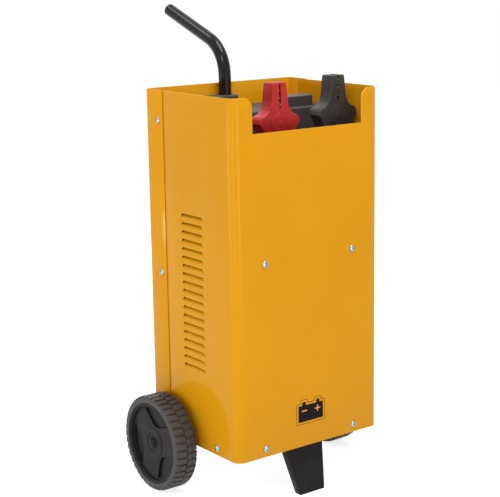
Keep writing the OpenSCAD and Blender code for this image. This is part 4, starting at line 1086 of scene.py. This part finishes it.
# %% [markdown]
# ## Screws
#
# All screws of the casing are one kind: a low round head with a cross recess. One is turned from
# its outline, and the cross is cut with two thin blades that narrow towards their lower side.

# %% One screw
def head_place(r, h):
    """A place on the outline of a screw that stands upright on the origin."""
    return Vector((r, 0, h)) * MM


cross_long, cross_wide, cross_deep = 6.4, 1.3, 3.4
screw_outline = [(0, 3.7), (1.9, 3.6), (3.7, 3.2), (5.0, 2.4), (5.8, 1.3), (6, 0.5), (5.9, 0),
                 (1.95, 0), (1.95, -6.6), (1.5, -7), (0, -7)]
screw = turned("screw", [head_place(r, h) for r, h in screw_outline], (0, 0, 0), (0, 0, 1), 28)
for turn in (0, 90):
    bpy.ops.object.select_all(action="DESELECT")
    bpy.ops.mesh.primitive_cube_add(size=1, location=(0, 0, cross_deep * MM),
                                    rotation=(0, 0, math.radians(turn)))
    blade = bpy.context.object
    blade.scale = Vector((cross_long, cross_wide, cross_deep)) * MM
    bpy.ops.object.transform_apply(location=True, rotation=True, scale=True)
    edit(blade, everything=False)
    pick_faces(blade, lambda f: f.normal.z < -0.9)
    bpy.ops.transform.resize(value=(0.4, 0.4, 1), center_override=(0, 0, 0))
    bpy.ops.object.mode_set(mode="OBJECT")
    carve(screw, blade)
close(screw, 35)
print("screw", len(screw.data.polygons), "faces")


# %% [markdown]
# Copies of the screw are stood on their holes. Each place comes with the direction that the head
# looks in, and each copy is turned a little further than the last.

# %% Copies in every hole
def set_copies(source, name, places):
    """Copies of an upright piece, each stood on its place along its own direction."""
    copies = []
    for i, (place, way) in enumerate(places):
        only(source)
        bpy.ops.object.duplicate(linked=False)
        copy = bpy.context.object
        spin = Matrix.Rotation(0.7 * i, 4, "Z")
        copy.matrix_world = (Matrix.Translation(at(*place))
                             @ Vector(way).to_track_quat("Z", "Y").to_matrix().to_4x4() @ spin)
        bpy.ops.object.transform_apply(location=True, rotation=True, scale=True)
        copies.append(copy)
    return join(name, copies)


wall_y, plate_x, plate_rows = 124.5, 104, (381, 499)
casing_places = []
for s in (-1, 1):
    casing_places += [((s * 93.5, -half_d, 328), (0, -1, 0)), ((s * 95.5, -half_d, 14), (0, -1, 0)),
                      ((s * 120, half_d, 14), (0, 1, 0)), ((s * half_w, -63.5, 12), (s, 0, 0))]
    casing_places += [((s * back_w, 87.5, z), (s, 0, 0)) for z in (25, 288, 550)]
    casing_places += [((s * plate_x, wall_y, z), (0, 1, 0)) for z in plate_rows]
finish_piece(set_copies(screw, "casing_screws", casing_places), nickel, "screws", "chassis",
             "cover_screws")
tray_places = [((s * 118, y, trough_z), (0, 0, 1)) for s in (-1, 1) for y in (-92, -8)]
finish_piece(set_copies(screw, "tray_screws_set", tray_places), nickel, "screws", "chassis",
             "tray_screws")
bpy.data.objects.remove(screw)

# %% [markdown]
# ## Battery sign on the front
#
# A small printed battery tells what the machine is for: a black body with two terminals, a minus
# and a plus. Ink has almost no thickness, so each shape is a prism a few hundredths high, laid
# on the paint.

# %% Shapes for printing
def prism(name, outline, place, low, high):
    """An outline, put in place by a function of two numbers and a level, swept between levels."""
    piece = ring(name, [place(u, v, low) for u, v in outline], filled=True)
    edit(piece)
    draw_out(place(0, 0, high) - place(0, 0, low))
    return close(piece)


def printed(name, outline, low, high):
    """A flat shape of x and z, printed on a wall between two depths."""
    return prism(name, outline, lambda u, v, w: at(u, w, v), low, high)


def oblong(x0, x1, z0, z1, r=0.0, steps=4):
    """An upright rectangle of x and z, with rounded corners if asked."""
    if r == 0:
        return [(x0, z0), (x1, z0), (x1, z1), (x0, z1)]
    return (arc(x0 + r, z0 + r, r, 180, 270, steps) + arc(x1 - r, z0 + r, r, 270, 360, steps)
            + arc(x1 - r, z1 - r, r, 0, 90, steps) + arc(x0 + r, z1 - r, r, 90, 180, steps))


# %% The battery
front = -half_d
body_outline = softened([(-26.4, 43), (27.4, 43), (27.4, 72), (19.3, 72), (19.3, 77.8), (12.2, 77.8),
                         (12.2, 72), (-10.4, 72), (-10.4, 77.8), (-18.2, 77.8), (-18.2, 72),
                         (-26.4, 72)], 0.9, 2)
battery = printed("battery_sign", body_outline, front + 0.1, front - 0.04)
rim_outer = [(-31, 38.8), (32, 38.8), (32, 76), (23.5, 76), (23.5, 82.4), (8, 82.4), (8, 76),
             (-6.2, 76), (-6.2, 82.4), (-22.4, 82.4), (-22.4, 76), (-31, 76)]
inward = [(1, 1), (-1, 1), (-1, -1), (-1, -1), (-1, -1), (1, -1), (1, -1), (-1, -1), (-1, -1),
          (1, -1), (1, -1), (1, -1)]
rim_inner = [(x + 0.8 * i, z + 0.8 * k) for (x, z), (i, k) in zip(rim_outer, inward)]
rim = printed("battery_outline", softened(rim_outer, 4, 3), front + 0.1, front - 0.04)
carve(rim, printed("rim_way", softened(rim_inner, 3.4, 3), front + 1, front - 1))
sign = join("battery_sign", [battery, close(rim)])
finish_piece(sign, ink_black, None, "chassis")
minus = printed("minus", oblong(-19.2, -7.4, 61, 63.4, 0.8), front, front - 0.08)
plus = [(14.2, 60.5), (14.2, 55.8), (16.4, 55.8), (16.4, 60.5), (21.2, 60.5), (21.2, 62.7),
        (16.4, 62.7), (16.4, 67.4), (14.2, 67.4), (14.2, 62.7), (9.4, 62.7), (9.4, 60.5)]
signs = join("battery_poles", [minus, printed("plus", plus, front, front - 0.08)])
finish_piece(signs, ink_yellow, None, "chassis")

# %% [markdown]
# ## Controls on the back
#
# The controls sit where a person behind the handle reads them: an ammeter, a selector, a mains
# rocker and a fuse. The ammeter's case is a frame on the plate with a barrel behind it, which
# holds the works. A frame is quickest as a rounded block with a second block cut out of it.

# %% Ammeter case
pivot_z, sweep = 440.0, 40
case = printed("case", oblong(meter_x - 40, meter_x + 40, meter_z - 33, meter_z + 33, 4, 6),
               wall_y, wall_y + 9)
carve(case, printed("opening", oblong(meter_x - 36, meter_x + 36, meter_z - 29, meter_z + 29),
                    wall_y + 2, wall_y + 12))
rounded(case, 0.9, 3, 40)
barrel = rounded(rod("barrel", 26.5, (meter_x, 100.8, meter_z), (meter_x, wall_y + 1, meter_z), 64),
                 0.8, 2, 40)
pivot = rod("pivot", 1, (meter_x, wall_y + 1.8, pivot_z), (meter_x, wall_y + 5, pivot_z), 24)
finish_piece(join("meter_case_moulding", [case, barrel, pivot]), black_plastic, "black_plastic",
             "chassis", "meter_case")


# %% [markdown]
# The scale is printed on the dial: an arc, twenty-one lines, five plain numbers and the letter of
# the unit. Seen from behind, the casing's right is on the left, so lettering is turned half
# round. Text is made a mesh before its place is applied.

# %% Dial of the ammeter
def lettering(text, x, y, z, size):
    """A few letters or figures, standing on the back wall and made mesh."""
    bpy.ops.object.select_all(action="DESELECT")
    bpy.ops.object.text_add(location=at(x, y, z), rotation=(math.pi / 2, 0, math.pi))
    letters = bpy.context.object
    letters.name = "figure_" + text
    letters.data.body = text
    letters.data.size = size * MM
    letters.data.extrude = 0.04 * MM
    letters.data.resolution_u = 3
    letters.data.align_x, letters.data.align_y = "CENTER", "CENTER"
    bpy.ops.object.convert(target="MESH")
    bpy.ops.object.transform_apply(location=True, rotation=True, scale=True)
    return close(bpy.context.object)


def band(x, z, r0, r1, first, last, steps=24):
    """The outline of an arc-shaped stripe, angles counted from straight up."""
    return arc(x, z, r1, 90 - first, 90 - last, steps) + arc(x, z, r0, 90 - last, 90 - first, steps)


dial_y = wall_y + 3
marks = [printed("scale_arc", band(meter_x, pivot_z, 40.6, 41.1, -sweep, sweep, 40), dial_y - 0.1,
                 dial_y + 0.05)]
for amps in range(0, 21):
    tilt = sweep - 4 * amps
    reach = 44.4 if amps % 5 == 0 else 43
    wide = 0.5 if amps % 5 == 0 else 0.3
    marks.append(printed("tick", band(meter_x, pivot_z, 40.8, reach, tilt - wide, tilt + wide, 1),
                         dial_y - 0.1, dial_y + 0.06))
    if amps % 5 == 0:
        turn = math.radians(tilt)
        marks.append(lettering(str(amps), meter_x + 36.4 * math.sin(turn), dial_y,
                               pivot_z + 36.4 * math.cos(turn), 5.2))
marks.append(lettering("A", meter_x, dial_y, pivot_z + 16, 8))
finish_piece(join("meter_scale", marks), ink_black, None, "chassis")


# %% [markdown]
# The needle is a thin pointed blade on a small hub, painted red. It rests at zero, forty degrees
# from upright, so its points are drawn upright and leaned over by a helper.

# %% Needle
def needle_place(u, v, w):
    """A place on the needle, which rests forty degrees from upright."""
    tilt = math.radians(sweep)
    return at(meter_x + u * math.cos(tilt) + v * math.sin(tilt), w,
              pivot_z - u * math.sin(tilt) + v * math.cos(tilt))


blade = prism("blade", [(-0.6, -5), (0.6, -5), (0.55, 6), (0.2, 34), (0, 40), (-0.2, 34),
                        (-0.55, 6)], needle_place, wall_y + 3.7, wall_y + 4.3)
carve(blade, rod("way", 1.3, (meter_x, wall_y + 3, pivot_z), (meter_x, wall_y + 5.5, pivot_z), 32))
needle_hub = [(1.25, 3.4), (2.7, 3.4), (3, 3.6), (3, 4.3), (2.7, 4.6), (1.25, 4.6)]
blade_hub = turned("hub", [at(meter_x + r, wall_y + d, pivot_z) for r, d in needle_hub],
                   at(meter_x, 0, pivot_z), (0, 1, 0), 32)
finish_piece(join("needle_blade", [blade, blade_hub]), gloss_red, node_slot["meter_needle"],
             "needle", "meter_needle")

# %% [markdown]
# The selector is a milled disc with a raised grip across it. The milling is an outline that steps
# in and out by half a millimetre. A white line in the grip's groove shows what is chosen.

# %% Selector knob
def milled(x, z, radii, times):
    """The outline of a milled disc: its radii follow each other a number of times."""
    half_round = len(radii) * times / 2
    return [(x + r * math.cos(i * math.pi / half_round), z + r * math.sin(i * math.pi / half_round))
            for i, r in enumerate(radii * times)]


disc_low = wall_y + 5
knob_disc = rounded(printed("disc", milled(knob_x, meter_z, [20, 19.95, 19.5, 19.45], 24), disc_low,
                            disc_low + 5), 0.5, 2, 50)
grip = rounded(printed("grip", oblong(knob_x - 6, knob_x + 6, meter_z - 18.5, meter_z + 18.5, 3, 6),
                       disc_low + 4.8, disc_low + 14.8), 1.3, 3, 50)
carve(grip, printed("groove", oblong(knob_x - 0.8, knob_x + 0.8, meter_z + 4, meter_z + 20),
                    wall_y + 19, wall_y + 21))
shaft = rod("shaft", 3, (knob_x, 104.8, meter_z), (knob_x, wall_y + 8, meter_z), 32)
finish_piece(join("selector_grip", [knob_disc, grip, shaft]), gloss_black, node_slot["selector_knob"],
             "selector", "selector_knob")
line = printed("pointer_line", oblong(knob_x - 0.7, knob_x + 0.7, meter_z + 4.1, meter_z + 17.1),
               wall_y + 18.9, wall_y + 19.6)
finish_piece(line, ink_white, None, "selector")

# %% [markdown]
# The plate's markings are printed in white: an arc with five dots and figures round the selector,
# a frame line, and two words at the rocker. The frame line makes way for the plate's screws.

# %% Markings of the plate
shapes = [printed("selector_arc", band(knob_x, meter_z, 23.4, 24, -60, 60, 48), wall_y - 0.1,
                  wall_y + 0.05)]
for i in range(5):
    turn = math.radians(60 - 30 * i)
    dot_x, dot_z = knob_x + 23.7 * math.sin(turn), meter_z + 23.7 * math.cos(turn)
    shapes.append(printed("dot", arc(dot_x, dot_z, 1.25, 0, 345, 23), wall_y - 0.1,
                          wall_y + 0.07))
    shapes.append(lettering(str(i), knob_x + 30 * math.sin(turn), wall_y,
                            meter_z + 30 * math.cos(turn), 6.4))
frame_line = printed("frame_line", oblong(-109, 109, 376, 504, 5, 6), wall_y - 0.1,
                     wall_y + 0.05)
carve(frame_line, printed("inside", oblong(-108.4, 108.4, 376.6, 503.4, 4.4, 6), wall_y - 1,
                          wall_y + 1))
for x, z in [(s * plate_x, z) for z in plate_rows for s in (-1, 1)]:
    carve(frame_line, rod("screw_way", 5.6, (x, wall_y - 1, z), (x, wall_y + 1, z), 40))
shapes.append(close(frame_line))
shapes += [lettering("ON", meter_x + 24, wall_y, low_z + 5, 4.6),
           lettering("OFF", meter_x + 25, wall_y, low_z - 5, 4.6)]
finish_piece(join("plate_markings", shapes), ink_white, None, "chassis")


# %% [markdown]
# The rocker is one prism whose face has a shallow valley, so that one half stands out when the
# other is pressed in. It is drawn in its own tilted directions, and its two signs follow them.

# %% Rocker
rocker_y = wall_y - 1


def rocker_place(u, v, w):
    """A place on the rocker, which rests tilted: across, up, and out of the panel."""
    tilt = math.radians(-8)
    return at(meter_x + u, rocker_y + w * math.cos(tilt) - v * math.sin(tilt),
              low_z + w * math.sin(tilt) + v * math.cos(tilt))


profile = [(-5, -6), (4.2, -7), (2.8, 0), (4.2, 7), (-5, 6)]
rocker = ring("rocker_cap", [rocker_place(-10.6, v, w) for w, v in profile], filled=True)
edit(rocker)
draw_out(Vector((21.2, 0, 0)) * MM)
rounded(close(rocker), 0.5, 2, 8)
pin = rod("pin", 1.5, (meter_x - 12.4, rocker_y, low_z), (meter_x + 12.4, rocker_y, low_z), 24)
finish_piece(join("rocker_cap", [rocker, pin]), gloss_red, node_slot["power_rocker"], "rocker",
             "power_rocker")


def on_rocker(u, v, w):
    """A place on the rocker's two sloping faces."""
    return rocker_place(u, v, 2.8 + 0.2 * abs(v) + w)


stroke = prism("stroke", oblong(-0.45, 0.45, 2.2, 5.4), on_rocker, -0.1, 0.06)
circle = prism("circle", arc(0, -3.8, 1.9, 0, 345, 23), on_rocker, -0.1, 0.06)
carve(circle, prism("way", arc(0, -3.8, 1.2, 0, 345, 23), on_rocker, -1, 1))
finish_piece(join("rocker_signs", [stroke, close(circle)]), ink_white, None, "rocker")

# %% [markdown]
# The fuse cap is a smaller milled disc with a slot for a screwdriver and a stem inside its holder.

# %% Fuse cap
cap = rounded(printed("cap", milled(knob_x, low_z, [8, 7.95, 7.55, 7.5], 18), wall_y + 3.05,
                      wall_y + 9), 0.5, 2, 50)
carve(cap, printed("slot", oblong(knob_x - 6, knob_x + 6, low_z - 0.8, low_z + 0.8), wall_y + 8,
                   wall_y + 10))
stem = rod("stem", 5.9, (knob_x, 116.8, low_z), (knob_x, wall_y + 4, low_z), 40)
finish_piece(join("fuse_cap_knurled", [cap, stem]), gloss_black, node_slot["fuse_cap"], "chassis",
             "fuse_cap")

# %% [markdown]
# ## Eased edges
#
# The remaining pieces are plain workshop parts: blocks, saddles, bolts, brackets. Their CAD
# shape is right, but a machined or moulded edge is never knife sharp. Each is copied, its
# doubles merged, its flat areas joined and its edges eased by a few tenths of a millimetre.

# %% Eased copies
def eased(node, width):
    """A copy of a CAD node with its edges eased, which stands for the node."""
    source = nodes[node]
    piece = bpy.data.objects.new(node + "_eased", source.data.copy())
    bpy.context.scene.collection.objects.link(piece)
    piece.matrix_world = source.matrix_world
    only(piece)
    bpy.ops.object.transform_apply(location=True, rotation=True, scale=True)
    edit(piece)
    bpy.ops.mesh.remove_doubles(threshold=0.000002)
    bpy.ops.mesh.dissolve_limited(angle_limit=math.radians(0.6))
    bpy.ops.mesh.normals_make_consistent(inside=False)
    bpy.ops.object.mode_set(mode="OBJECT")
    rounded(piece, width, 2, 35)
    finish_piece(piece, source.data.materials[0], node_slot[node], "chassis", node)


for node, width in (("control_plate", 0.5), ("selector_body", 0.4), ("rocker_frame", 0.5),
                    ("fuse_holder", 0.5), ("mains_gland", 0.6), ("upper_saddle", 0.4),
                    ("lower_saddle", 0.4), ("saddle_bolts", 0.3), ("lead_glands", 0.5),
                    ("base_pan", 0.3), ("shelf", 0.3), ("foot_bolts", 0.3), ("core_feet", 0.4),
                    ("core_bolts", 0.3), ("heat_sink", 0.3), ("diodes", 0.2), ("axle", 0.5),
                    ("left_axle_block", 0.5), ("right_axle_block", 0.5), ("block_bolts", 0.3),
                    ("tray_posts", 0.3), ("spacer_sleeves", 0.3)):
    eased(node, width)
